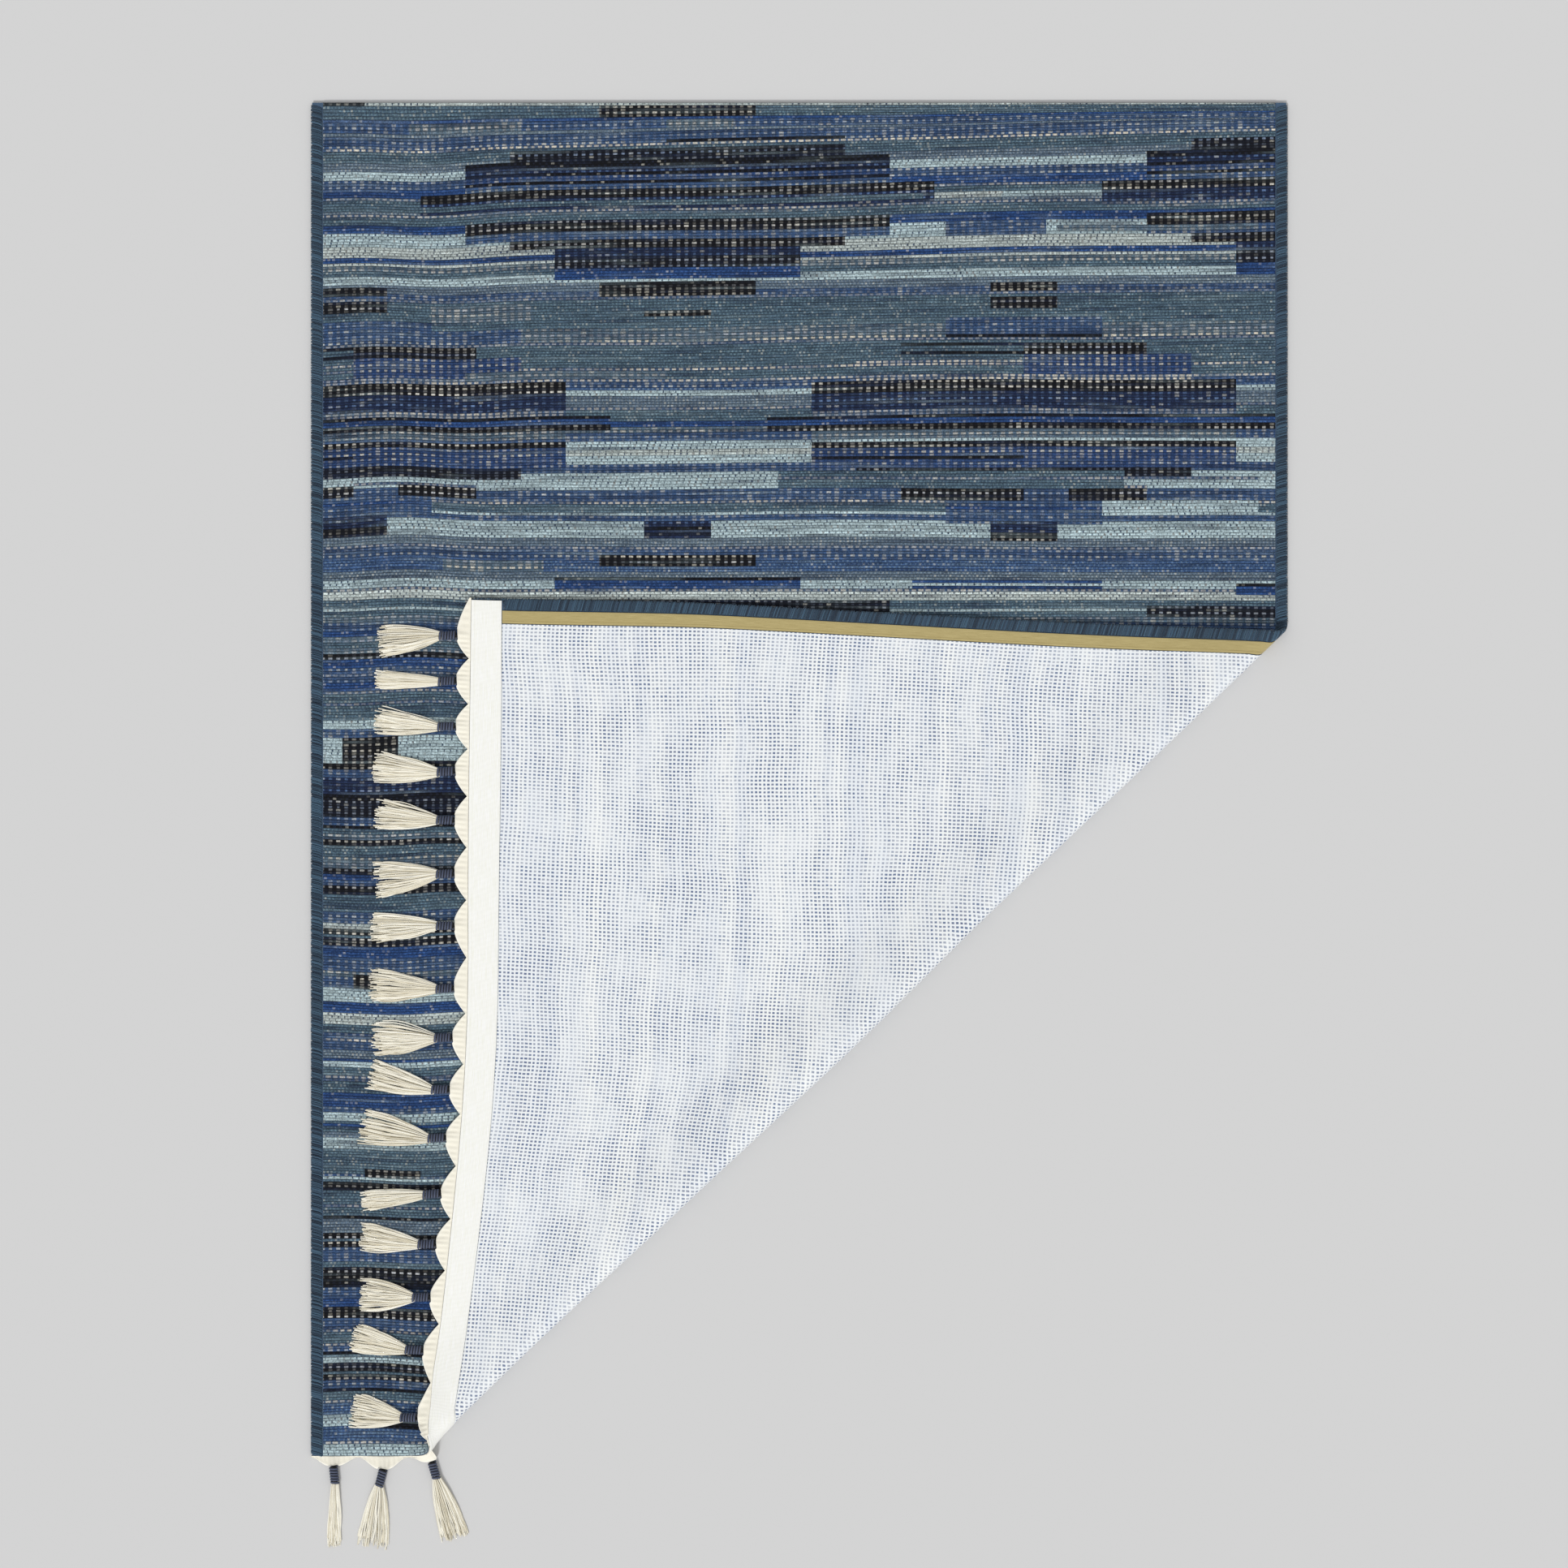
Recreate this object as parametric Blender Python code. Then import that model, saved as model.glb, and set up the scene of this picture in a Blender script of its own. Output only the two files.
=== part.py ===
"""Flat-woven outdoor rug with one corner folded over, its back showing, built as it is sewn.

The cloth, its serged sides, the gold and white tapes on its back and the fringe heading are each
made flat, as a maker cuts and sews them. Then the lower right corner is turned over along one
slanting fold, and the tassels are hung on the heading. Metres, +Z up. The origin is the middle of
the cloth's back, which lies on the floor.
"""

import math
import random

import bmesh
import bpy
from mathutils import Vector

MM = 0.001

# The cloth: u runs from its left side, v from its fringed end, w up from its back
RUG_WIDTH = 914 * MM
RUG_LENGTH = 1266 * MM
THICK = 4 * MM
HEM_ROUND = 1.5 * MM

# Sewn layers: the serging's yarn and both tapes are let into the cloth by their own thickness
LAYER = 1.0 * MM
GAP = 0.3 * MM
STEP = 0.4 * MM
SERGE_REACH = 11 * MM
SERGE_PROUD = 0.5 * MM
SERGE_CORNER = 3 * MM
GOLD_WIDTH = 11.5 * MM
WHITE_WIDTH = 29 * MM

# The fold: the line along its outer edge meets the fringed end and the right side at these places
FOLD_FROM_LEFT = 104 * MM
FOLD_FROM_END = 770 * MM
FOLD_INSET = 11 * MM
SETTLE_LENGTH = 75 * MM
FLAP_GAP = 1 * MM
BEND_LENGTH = 31 * MM
BEND_CUTS = 12
SETTLE_CUTS = 5
FLAP_PITCH = 80 * MM

# One row a place along the fold, from the fringed end: how far along it, and the bend's radius there
BENDS = [
    # along, radius
    (0, 13.0),
    (30, 8.5),
    (60, 7.0),
    (150, 6.2),
    (350, 8.2),
    (550, 10.0),
    (750, 6.9),
    (950, 7.3),
    (1120, 6.4),
]

# The turned-over end is pushed to the right by this much, most at this share of its length
FLAP_BOW = 22 * MM
BOW_END = 0.98
BOW_SKEW = 1.44

# The heading: a strip of fringe yarn whose lobes gather into the tassels' necks
ROOT_LOW = 0.4 * MM
ROOT_HIGH = 2.6 * MM
CUSP_DEPTH = 1.6 * MM
WEB_HALF = 1.0 * MM
LOBE_ROWS = (0.0, 0.55, 1.0)
LOBE_COLUMNS = (0.35, 0.7, 1.0)

# The tassels: an oval neck bound with navy thread, then a tuft of cut yarn
NECK_LENGTH = 18 * MM
NECK_WIDE = 8.7 * MM
NECK_HIGH = 6 * MM
WRAP_WALL = 1.2 * MM
WRAP_SIDES = 10
WRAP_BARREL = 0.3 * MM
SHOULDER_LENGTH = 5 * MM
SHOULDER_WIDE = 10.6 * MM
SHOULDER_HIGH = 5 * MM
LOCKS_ACROSS = 5
LOCK_LAYERS = 2
TIP_HIGH = 1.5 * MM
TIP_SHARE = 0.72
MID_SHARE = 0.8
MID_AT = 0.5
LENGTH_SCATTER = 2.5 * MM
SIDE_SCATTER = 0.8 * MM
SEED = 7

# One row a tassel, from the rug's left side: where its neck stands along the fringed end, how deep
# its lobe is, how its neck and its tuft turn from square, the tuft's length and its width at the tips
TASSELS = [
    # along, lobe depth, neck turn, tuft turn, tuft length, tip width
    (21, 9, 6, -1, 57, 13),
    (68, 12, -14, -6, 56, 28),
    (113, 12, 16, 17, 57, 26),
    (146, 13, 0, 11, 45, 31),
    (203, 13, 4, 16, 49, 25),
    (252, 13, 1, 6, 47, 32),
    (301, 13, 0, 10, 53, 26),
    (348, 13, -2, -3, 56, 18),
    (401, 13, 0, 13, 62, 33),
    (447, 13, 2, 17, 58, 27),
    (497, 13, 0, 4, 56, 34),
    (544, 13, 0, 5, 60, 31),
    (603, 13, 2, 1, 59, 27),
    (652, 13, 1, -3, 56, 32),
    (703, 13, 3, 9, 56, 27),
    (750, 13, -2, 8, 58, 28),
    (793, 13, 0, 9, 57, 26),
    (836, 13, 0, 5, 57, 16),
    (879, 13, 0, -3, 55, 30),
]
# The first tassel on the turned-over corner. Where the bend holds a lobe up, the lobe hangs by this
# share of that height, and its neck by the rest
TURNED_FROM = 3
LOBE_FALL = 0.6
LOBE_TO_NECK = 0.45 * MM
# The tassel before it hangs from the end of the bend down to the floor, where its neck starts here
HANGING = 2
HANGS_AT = Vector((113, -5, 3)) * MM


def clear_scene():
    for old in list(bpy.data.objects):
        bpy.data.objects.remove(old)


def material(name, colour, roughness):
    """A Principled material of one colour, with no metal in it."""
    made = bpy.data.materials.new(name)
    made.use_nodes = True
    shader = made.node_tree.nodes["Principled BSDF"]
    shader.inputs["Base Color"].default_value = (*colour, 1.0)
    shader.inputs["Roughness"].default_value = roughness
    shader.inputs["Metallic"].default_value = 0.0
    return made


def add_object(name, bm, finish):
    """Makes the mesh an object at the origin, its faces pointing outwards."""
    bmesh.ops.recalc_face_normals(bm, faces=bm.faces)
    mesh = bpy.data.meshes.new(name)
    bm.to_mesh(mesh)
    bm.free()
    mesh.materials.append(finish)
    made = bpy.data.objects.new(name, mesh)
    bpy.context.scene.collection.objects.link(made)
    return made


# The fold as a line in the cloth's plane, with the way along it and the way out of the rug
FOLD_START = Vector((FOLD_FROM_LEFT, 0.0))
FOLD_ALONG = (Vector((RUG_WIDTH, FOLD_FROM_END)) - FOLD_START).normalized()
FOLD_OUT = Vector((FOLD_ALONG.y, -FOLD_ALONG.x))
FOLD_SPAN = (Vector((RUG_WIDTH, FOLD_FROM_END)) - FOLD_START).length
SETTLED = THICK * 1.5 + FLAP_GAP


def bend_radius(along):
    """The bend's middle radius at a place along the fold, easing from one row of BENDS to the next."""
    for (low, radius), (high, next_radius) in zip(BENDS, BENDS[1:]):
        if along <= high * MM or high == BENDS[-1][0]:
            share = min(max((along - low * MM) / ((high - low) * MM), 0.0), 1.0)
            return (radius + (next_radius - radius) * share * share * (3 - 2 * share)) * MM
    return radius * MM


def flap_height(past, radius):
    """Height of the turned-over cloth's middle, this far past the bend, and its slope there."""
    top = THICK / 2 + 2 * radius
    if past >= SETTLE_LENGTH:
        return SETTLED, 0.0
    turn = math.pi * past / SETTLE_LENGTH
    drop = (top - SETTLED) / 2
    return SETTLED + drop * (1 + math.cos(turn)), -drop * math.sin(turn) * math.pi / SETTLE_LENGTH


def flap_bow(u, past, radius):
    """How far the turned-over cloth is pushed to the right, growing from the bend to the end."""
    share = (RUG_WIDTH - u) / (RUG_WIDTH - FOLD_FROM_LEFT) / BOW_END
    edge = (Vector((u, 0.0)) - FOLD_START).dot(FOLD_OUT) + FOLD_INSET - math.pi * radius
    if edge <= 0 or not 0 < share < 1:
        return 0.0
    return FLAP_BOW * math.sin(math.pi * share ** BOW_SKEW) * min(past / edge, 1.0)


def laid(u, v, w):
    """Where the cloth's point (u, v, w) lies once the corner is turned over."""
    flat = Vector((u, v))
    beyond = (flat - FOLD_START).dot(FOLD_OUT) + FOLD_INSET
    radius = bend_radius((flat - FOLD_START).dot(FOLD_ALONG))
    offset = w - THICK / 2
    bow = 0.0
    if beyond <= 0:
        plan, height = flat, w
    elif beyond < math.pi * radius:
        turn = beyond / radius
        plan = flat + FOLD_OUT * ((radius - offset) * math.sin(turn) - beyond)
        height = THICK / 2 + radius - (radius - offset) * math.cos(turn)
    else:
        past = beyond - math.pi * radius
        middle, slope = flap_height(past, radius)
        tilt = math.hypot(1.0, slope)
        plan = flat - FOLD_OUT * (beyond + past + offset * slope / tilt)
        height = middle - offset / tilt
        bow = flap_bow(u, past, radius)
    return Vector((plan.x + bow - RUG_WIDTH / 2, plan.y - RUG_LENGTH / 2, height))


def cut_along(bm, place, out, only_beyond=None):
    """Adds an edge wherever the upright plane through place, facing out, crosses the flat mesh."""
    faces = bm.faces[:]
    if only_beyond is not None:
        start = Vector((*FOLD_START, 0.0))
        faces = [f for f in faces if (f.calc_center_median() - start).dot(only_beyond) > -FOLD_INSET]
    edges = {e for f in faces for e in f.edges}
    verts = {v for f in faces for v in f.verts}
    bmesh.ops.bisect_plane(bm, geom=[*verts, *edges, *faces], plane_co=place, plane_no=out, dist=1e-7)


def fold_over(bm):
    """Cuts a flat mesh where the cloth bends, then turns its corner over."""
    out = Vector((*FOLD_OUT, 0.0))
    along = Vector((*FOLD_ALONG, 0.0))
    start = Vector((*FOLD_START, 0.0)) - out * FOLD_INSET
    cuts = [BEND_LENGTH * i / BEND_CUTS for i in range(BEND_CUTS + 1)]
    cuts += [BEND_LENGTH + SETTLE_LENGTH * (i + 1) / SETTLE_CUTS for i in range(SETTLE_CUTS)]
    farthest = max((v.co - start).dot(out) for v in bm.verts)
    while cuts[-1] + FLAP_PITCH < farthest:
        cuts.append(cuts[-1] + FLAP_PITCH)
    for distance in cuts:
        cut_along(bm, start + out * distance, out)
    for i in range(int(FOLD_SPAN / FLAP_PITCH) + 1):
        cut_along(bm, start + along * FLAP_PITCH * i, along, only_beyond=out)
    bmesh.ops.triangulate(bm, faces=bm.faces)
    for vert in bm.verts:
        vert.co = laid(*vert.co)


def loft(sections):
    """A closed mesh through sections, each the same number of points in order round the shape."""
    bm = bmesh.new()
    rings = [[bm.verts.new(p) for p in section] for section in sections]
    count = len(rings[0])
    for low, high in zip(rings, rings[1:]):
        for i in range(count):
            j = (i + 1) % count
            bm.faces.new((low[i], low[j], high[j], high[i]))
    bm.faces.new(rings[0][::-1])
    bm.faces.new(rings[-1])
    return bm


def cloth_section(v, taped_end, rounding=0.0):
    """The cloth's outline at v: let in on both faces at the serged sides, and on the back for tapes."""
    inset = LAYER + GAP
    step = SERGE_REACH + GAP
    gold = step + GOLD_WIDTH + GAP
    low = inset if taped_end else rounding
    high = THICK - rounding
    right = RUG_WIDTH
    profile = [
        (inset, THICK - inset),
        (step, THICK - inset),
        (step + STEP, high),
        (right - step - STEP, high),
        (right - step, THICK - inset),
        (right - inset, THICK - inset),
        (right - inset, inset),
        (right - gold, inset),
        (right - gold - STEP, low),
        (step + STEP, low),
        (step, inset),
        (inset, inset),
    ]
    return [(u, v, w) for u, w in profile]


def make_cloth(finish):
    tape = WHITE_WIDTH + GAP
    bm = loft([
        cloth_section(0.0, True, HEM_ROUND / 3),
        cloth_section(HEM_ROUND, True),
        cloth_section(tape, True),
        cloth_section(tape + STEP, False),
        cloth_section(RUG_LENGTH - HEM_ROUND, False),
        cloth_section(RUG_LENGTH, False, HEM_ROUND / 2),
    ])
    fold_over(bm)
    return add_object("rug_cloth", bm, finish)


def serging_section(v, under_tape):
    """The yarn round a side edge: a channel, whose back leg stops short where the white tape lies."""
    back = 2 * LAYER if under_tape else SERGE_REACH
    corner = LAYER if under_tape else SERGE_CORNER
    profile = [
        (SERGE_REACH, THICK),
        (SERGE_CORNER, THICK + SERGE_PROUD),
        (LAYER / 2, THICK - LAYER / 2),
        (0.0, THICK / 2),
        (LAYER / 2, LAYER / 2),
        (corner, 0.0),
        (back, 0.0),
        (back, LAYER),
        (LAYER, LAYER),
        (LAYER, THICK - LAYER),
        (SERGE_REACH, THICK - LAYER),
    ]
    return [(a, v, w) for a, w in profile]


def make_serging(name, right_side, finish):
    tape = WHITE_WIDTH + GAP
    bm = loft([
        serging_section(0.0, True),
        serging_section(tape, True),
        serging_section(tape + STEP, False),
        serging_section(RUG_LENGTH, False),
    ])
    if right_side:
        for vert in bm.verts:
            vert.co.x = RUG_WIDTH - vert.co.x
    fold_over(bm)
    return add_object(name, bm, finish)


def make_strip(name, u_range, v_range, finish):
    """A tape on the cloth's back, flush with it."""
    (u0, u1), (v0, v1) = u_range, v_range
    bm = loft([[(u0, v, 0.0), (u1, v, 0.0), (u1, v, LAYER), (u0, v, LAYER)] for v in (v0, v1)])
    fold_over(bm)
    return add_object(name, bm, finish)


def is_turned(index):
    return index >= TURNED_FROM


def neck_level(index):
    """How high above the cloth's back a neck's middle is, so that it rests on the cloth or the floor."""
    if is_turned(index):
        return SETTLED + THICK / 2 - (THICK + GAP + NECK_HIGH / 2)
    return NECK_HIGH / 2


def resting_level(index):
    return THICK + GAP if is_turned(index) else 0.0


def lobe_fall(index):
    """How the tip of a lobe hangs away from where the bent cloth alone would hold it."""
    along, depth = (x * MM for x in TASSELS[index][:2])
    held = laid(along, -depth, neck_level(index)).z - NECK_HIGH / 2 - resting_level(index)
    return Vector((0.0, 0.0, -LOBE_FALL * max(held, 0.0)))


def lobe_half_widths(index):
    """Distances from a neck to its lobe's two ends: half way to the next neck, or the rug's side."""
    here = TASSELS[index][0] * MM
    before = TASSELS[index - 1][0] * MM if index else -here + 2 * GAP
    last = index == len(TASSELS) - 1
    after = 2 * (RUG_WIDTH - GAP) - here if last else TASSELS[index + 1][0] * MM
    return (here - before) / 2, (after - here) / 2


def lobe_point(index, side, share, row, upper):
    """A point of a lobe: share runs from the neck's side to the lobe's end, row from root to rim."""
    along, depth = (x * MM for x in TASSELS[index][:2])
    half = lobe_half_widths(index)[side > 0]
    core = NECK_WIDE / 2
    reach = core + (half - core) * share if share > 0 else core * (1 + share)
    fall = max(share, 0.0)
    rim = math.sqrt(1 - fall * fall) if is_turned(index) else (1 + math.cos(math.pi * fall)) / 2
    gather = row * (1 - fall) ** 2
    root = (ROOT_LOW + ROOT_HIGH) / 2
    oval_share = math.sqrt(max(0.0, 1 - (reach / (core * 1.15)) ** 2))
    thick = WEB_HALF + (NECK_HIGH / 2 - WEB_HALF) * row * oval_share
    if not upper:
        thick = -thick
    facing = -1 if is_turned(index) else 1
    start, end = tassel_frame(index)[:2]
    along_neck = (end - start).normalized()
    across = Vector((0.0, 0.0, facing)).cross(along_neck).normalized()
    lift = along_neck.cross(across)
    hung = start - along_neck * LOBE_TO_NECK + across * side * reach + lift * thick
    if index == HANGING:
        sewn = laid(along + side * reach, -GAP - CUSP_DEPTH * row, root + thick)
        return sewn.lerp(hung, row * rim * rim)
    rim_depth = CUSP_DEPTH + (depth - CUSP_DEPTH) * rim
    middle = root + (neck_level(index) - root) * gather
    sewn = laid(along + side * reach, -GAP - rim_depth * row, middle + thick)
    sewn += lobe_fall(index) * gather
    return sewn.lerp(hung, row * row) if share <= 0 else sewn


def make_heading(finish):
    """One strip along the fringed end, scalloped, its lobes thickening to the tassels' necks."""
    shares = (-1.0, 0.0, *LOBE_COLUMNS)
    columns = []
    for index in range(len(TASSELS)):
        left = [(index, -1, s) for s in reversed(shares[1:])]
        right = [(index, 1, s) for s in shares]
        columns += (left if not index else left[1:]) + right
    bm = bmesh.new()
    count = len(LOBE_ROWS)
    rings = []
    for index, side, share in columns:
        low = [lobe_point(index, side, share, row, False) for row in LOBE_ROWS]
        high = [lobe_point(index, side, share, row, True) for row in reversed(LOBE_ROWS)]
        rings.append([bm.verts.new(p) for p in low + high])
    for before, after in zip(rings, rings[1:]):
        for i in range(2 * count):
            j = (i + 1) % (2 * count)
            bm.faces.new((before[i], before[j], after[j], after[i]))
    bm.faces.new(rings[0])
    bm.faces.new(rings[-1][::-1])
    bmesh.ops.triangulate(bm, faces=bm.faces)
    return add_object("fringe_heading", bm, finish)


def tassel_frame(index):
    """A tassel's neck start and end, the way its tuft runs, and the level it rests on."""
    along, depth, neck_turn, tuft_turn = TASSELS[index][:4]
    start = laid(along * MM, -depth * MM, neck_level(index)) + lobe_fall(index)
    if index == HANGING:
        start = HANGS_AT - Vector((RUG_WIDTH, RUG_LENGTH, 0.0)) / 2
    out = Vector((-1.0, -0.05, 0.0)).normalized() if is_turned(index) else Vector((0.0, -1.0, 0.0))
    rest = resting_level(index)
    end = start + rotated(out, neck_turn) * NECK_LENGTH
    end.z = rest + NECK_HIGH / 2
    return start, end, rotated(out, tuft_turn), rest


def rotated(way, degrees):
    """A level direction turned so that a positive angle leans it to the tufts' upper or right side."""
    lean = math.radians(-degrees if way.x < -0.5 else degrees)
    return Vector((
        way.x * math.cos(lean) - way.y * math.sin(lean),
        way.x * math.sin(lean) + way.y * math.cos(lean),
        0.0,
    ))


def oval(centre, along, wide, high, sides):
    """Points round an oval across the direction along, whose short axis is upright."""
    across = Vector((0.0, 0.0, 1.0)).cross(along).normalized()
    up = along.cross(across).normalized()
    turns = [2 * math.pi * i / sides for i in range(sides)]
    return [
        centre + across * (wide / 2 * math.cos(t)) + up * (high / 2 * math.sin(t)) for t in turns
    ]


def make_wrap(index, finish):
    """The navy binding: an oval sleeve, a little wider at its middle."""
    start, end = tassel_frame(index)[:2]
    along = (end - start).normalized()
    bore = 2 * WRAP_WALL
    stations = [(0.0, 0.0), (0.5, WRAP_BARREL), (1.0, 0.0)]
    bm = bmesh.new()
    rings = []
    for share, fuller in stations:
        centre = start.lerp(end, share)
        size = (NECK_WIDE + fuller, NECK_HIGH)
        rings.append([bm.verts.new(p) for p in oval(centre, along, *size, WRAP_SIDES)])
    for centre in (end, start):
        size = (NECK_WIDE - bore, NECK_HIGH - bore)
        rings.append([bm.verts.new(p) for p in oval(centre, along, *size, WRAP_SIDES)])
    for low, high in zip(rings, [*rings[1:], rings[0]]):
        for i in range(WRAP_SIDES):
            j = (i + 1) % WRAP_SIDES
            bm.faces.new((low[i], low[j], high[j], high[i]))
    return add_object(f"tassel_wrap_{index + 1:02d}", bm, finish)


def grid_rim():
    """The places on the rim of the locks' grid, in order round it."""
    across, layers = LOCKS_ACROSS, LOCK_LAYERS
    rim = [(i, 0) for i in range(across)] + [(across, j) for j in range(layers)]
    rim += [(i, layers) for i in range(across, 0, -1)] + [(0, j) for j in range(layers, 0, -1)]
    return rim


def make_tassel(index, finish):
    """The cream yarn of a tassel: its core inside the binding, its shoulder, and its cut locks."""
    start, end, tuft, rest = tassel_frame(index)
    length, tip_width = (x * MM for x in TASSELS[index][4:])
    scatter = random.Random(SEED + index)
    neck = (end - start).normalized()
    side = Vector((0.0, 0.0, 1.0)).cross(tuft).normalized()
    up = Vector((0.0, 0.0, 1.0))
    core = (NECK_WIDE - 2 * (WRAP_WALL + GAP), NECK_HIGH - 2 * (WRAP_WALL + GAP))
    bm = bmesh.new()

    def core_ring(centre):
        across = up.cross(neck).normalized()
        lift = neck.cross(across).normalized()
        ring = []
        for i, j in grid_rim():
            flat = Vector((2 * i / LOCKS_ACROSS - 1, 2 * j / LOCK_LAYERS - 1)).normalized()
            ring.append(bm.verts.new(
                centre + across * (core[0] / 2 * flat.x) + lift * (core[1] / 2 * flat.y)
            ))
        return ring

    def cap_place(i, j, forward, wide, high):
        centre = Vector((end.x, end.y, rest)) + tuft * forward
        return centre + side * (wide * (i / LOCKS_ACROSS - 0.5)) + up * (high * j / LOCK_LAYERS)

    shoulder = [bm.verts.new(cap_place(i, j, 2 * GAP + LAYER, SHOULDER_WIDE * MID_SHARE, SHOULDER_HIGH))
                for i, j in grid_rim()]
    root = {
        (i, j): bm.verts.new(cap_place(i, j, SHOULDER_LENGTH, SHOULDER_WIDE, SHOULDER_HIGH))
        for i in range(LOCKS_ACROSS + 1)
        for j in range(LOCK_LAYERS + 1)
    }
    rings = [core_ring(start), core_ring(end + neck * GAP), shoulder, [root[k] for k in grid_rim()]]
    for low, high in zip(rings, rings[1:]):
        for i in range(len(low)):
            j = (i + 1) % len(low)
            bm.faces.new((low[i], low[j], high[j], high[i]))
    bm.faces.new(rings[0][::-1])

    pitch = tip_width / LOCKS_ACROSS
    for i in range(LOCKS_ACROSS):
        for j in range(LOCK_LAYERS):
            quad = [root[k] for k in ((i, j), (i + 1, j), (i + 1, j + 1), (i, j + 1))]
            sway = scatter.uniform(-SIDE_SCATTER, SIDE_SCATTER)
            reach = length + scatter.uniform(-LENGTH_SCATTER, LENGTH_SCATTER)
            tip_middle = (i + 0.5 - LOCKS_ACROSS / 2) * pitch + sway
            root_middle = (i + 0.5 - LOCKS_ACROSS / 2) * SHOULDER_WIDE / LOCKS_ACROSS
            previous = quad
            for share in (MID_AT, 1.0):
                middle = root_middle + (tip_middle - root_middle) * share
                local_pitch = (SHOULDER_WIDE / LOCKS_ACROSS) * (1 - share) + pitch * share
                half = local_pitch * TIP_SHARE / 2
                layer_high = SHOULDER_HIGH / LOCK_LAYERS * (1 - share) + (TIP_HIGH + GAP) * share
                low = rest + j * layer_high
                high = low + layer_high - GAP
                centre = Vector((end.x, end.y, 0.0)) + tuft * (
                    SHOULDER_LENGTH + (reach - SHOULDER_LENGTH) * share
                )
                corners = ((-half, low), (half, low), (half, high), (-half, high))
                ring = [bm.verts.new(centre + side * (middle + s) + up * z) for s, z in corners]
                for k in range(4):
                    m = (k + 1) % 4
                    bm.faces.new((previous[k], previous[m], ring[m], ring[k]))
                previous = ring
            bm.faces.new(previous)
    return add_object(f"tassel_{index + 1:02d}", bm, finish)


def main():
    clear_scene()
    cloth = material("woven face yarn", (0.075, 0.13, 0.20), 0.9)
    serging = material("teal serging yarn", (0.05, 0.11, 0.17), 0.8)
    gold = material("gold binding tape", (0.42, 0.33, 0.12), 0.7)
    white = material("white cotton tape", (0.82, 0.82, 0.76), 0.85)
    cream = material("cream fringe yarn", (0.78, 0.74, 0.63), 0.9)
    navy = material("navy binding thread", (0.02, 0.03, 0.07), 0.7)
    make_cloth(cloth)
    make_serging("serging_left", False, serging)
    make_serging("serging_right", True, serging)
    gold_start = RUG_WIDTH - SERGE_REACH - GAP - GOLD_WIDTH
    gold_range = (gold_start, gold_start + GOLD_WIDTH)
    make_strip("gold_tape", gold_range, (WHITE_WIDTH + 2 * GAP, RUG_LENGTH), gold)
    clear_of_serging = 2 * LAYER + GAP
    white_range = (clear_of_serging, RUG_WIDTH - clear_of_serging)
    make_strip("white_tape", white_range, (0.0, WHITE_WIDTH), white)
    make_heading(cream)
    for index in range(len(TASSELS)):
        make_wrap(index, navy)
        make_tassel(index, cream)


main()
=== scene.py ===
"""Looks of a flat-woven outdoor rug whose lower right corner is folded over on to its face.

The cloth, its tapes, its serging and its fringe heading follow the cloth's own coordinates and are
laid by the same rule as the solids: u runs from the rug's left side, v from its fringed end, w up
from its back. Windings and tufts go where that rule puts the necks. Metres, +Z up.
"""

import logging
import math
from dataclasses import dataclass, field
from enum import Enum
from typing import Any, Iterable, Sequence

import bmesh
import bpy
import numpy as np
from mathutils import Matrix, Vector


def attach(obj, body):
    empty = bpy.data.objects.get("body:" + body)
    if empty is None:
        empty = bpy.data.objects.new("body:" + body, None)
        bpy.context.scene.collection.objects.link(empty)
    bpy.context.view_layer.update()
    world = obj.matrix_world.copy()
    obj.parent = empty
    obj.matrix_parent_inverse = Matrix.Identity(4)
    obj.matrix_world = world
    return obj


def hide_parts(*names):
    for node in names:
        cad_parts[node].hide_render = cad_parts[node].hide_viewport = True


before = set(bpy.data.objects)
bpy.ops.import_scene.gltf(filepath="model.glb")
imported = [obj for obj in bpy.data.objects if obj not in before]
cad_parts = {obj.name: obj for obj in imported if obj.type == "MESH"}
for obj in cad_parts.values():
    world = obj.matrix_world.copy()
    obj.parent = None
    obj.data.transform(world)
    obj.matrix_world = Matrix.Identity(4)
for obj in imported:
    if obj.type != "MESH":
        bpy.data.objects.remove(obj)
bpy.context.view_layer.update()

LOG = logging.getLogger("rug")
BODY = "root"
MM = 0.001

# The cloth and what is sewn to it, as the solids have them
RUG_WIDTH = 914 * MM
RUG_LENGTH = 1266 * MM
THICK = 4 * MM
LAYER = 1.0 * MM
GAP = 0.3 * MM
RAMP = 0.4 * MM
SERGE_REACH = 11 * MM
GOLD_WIDTH = 11.5 * MM
WHITE_WIDTH = 29 * MM
SETTLED = THICK * 1.5 + 1 * MM

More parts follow.
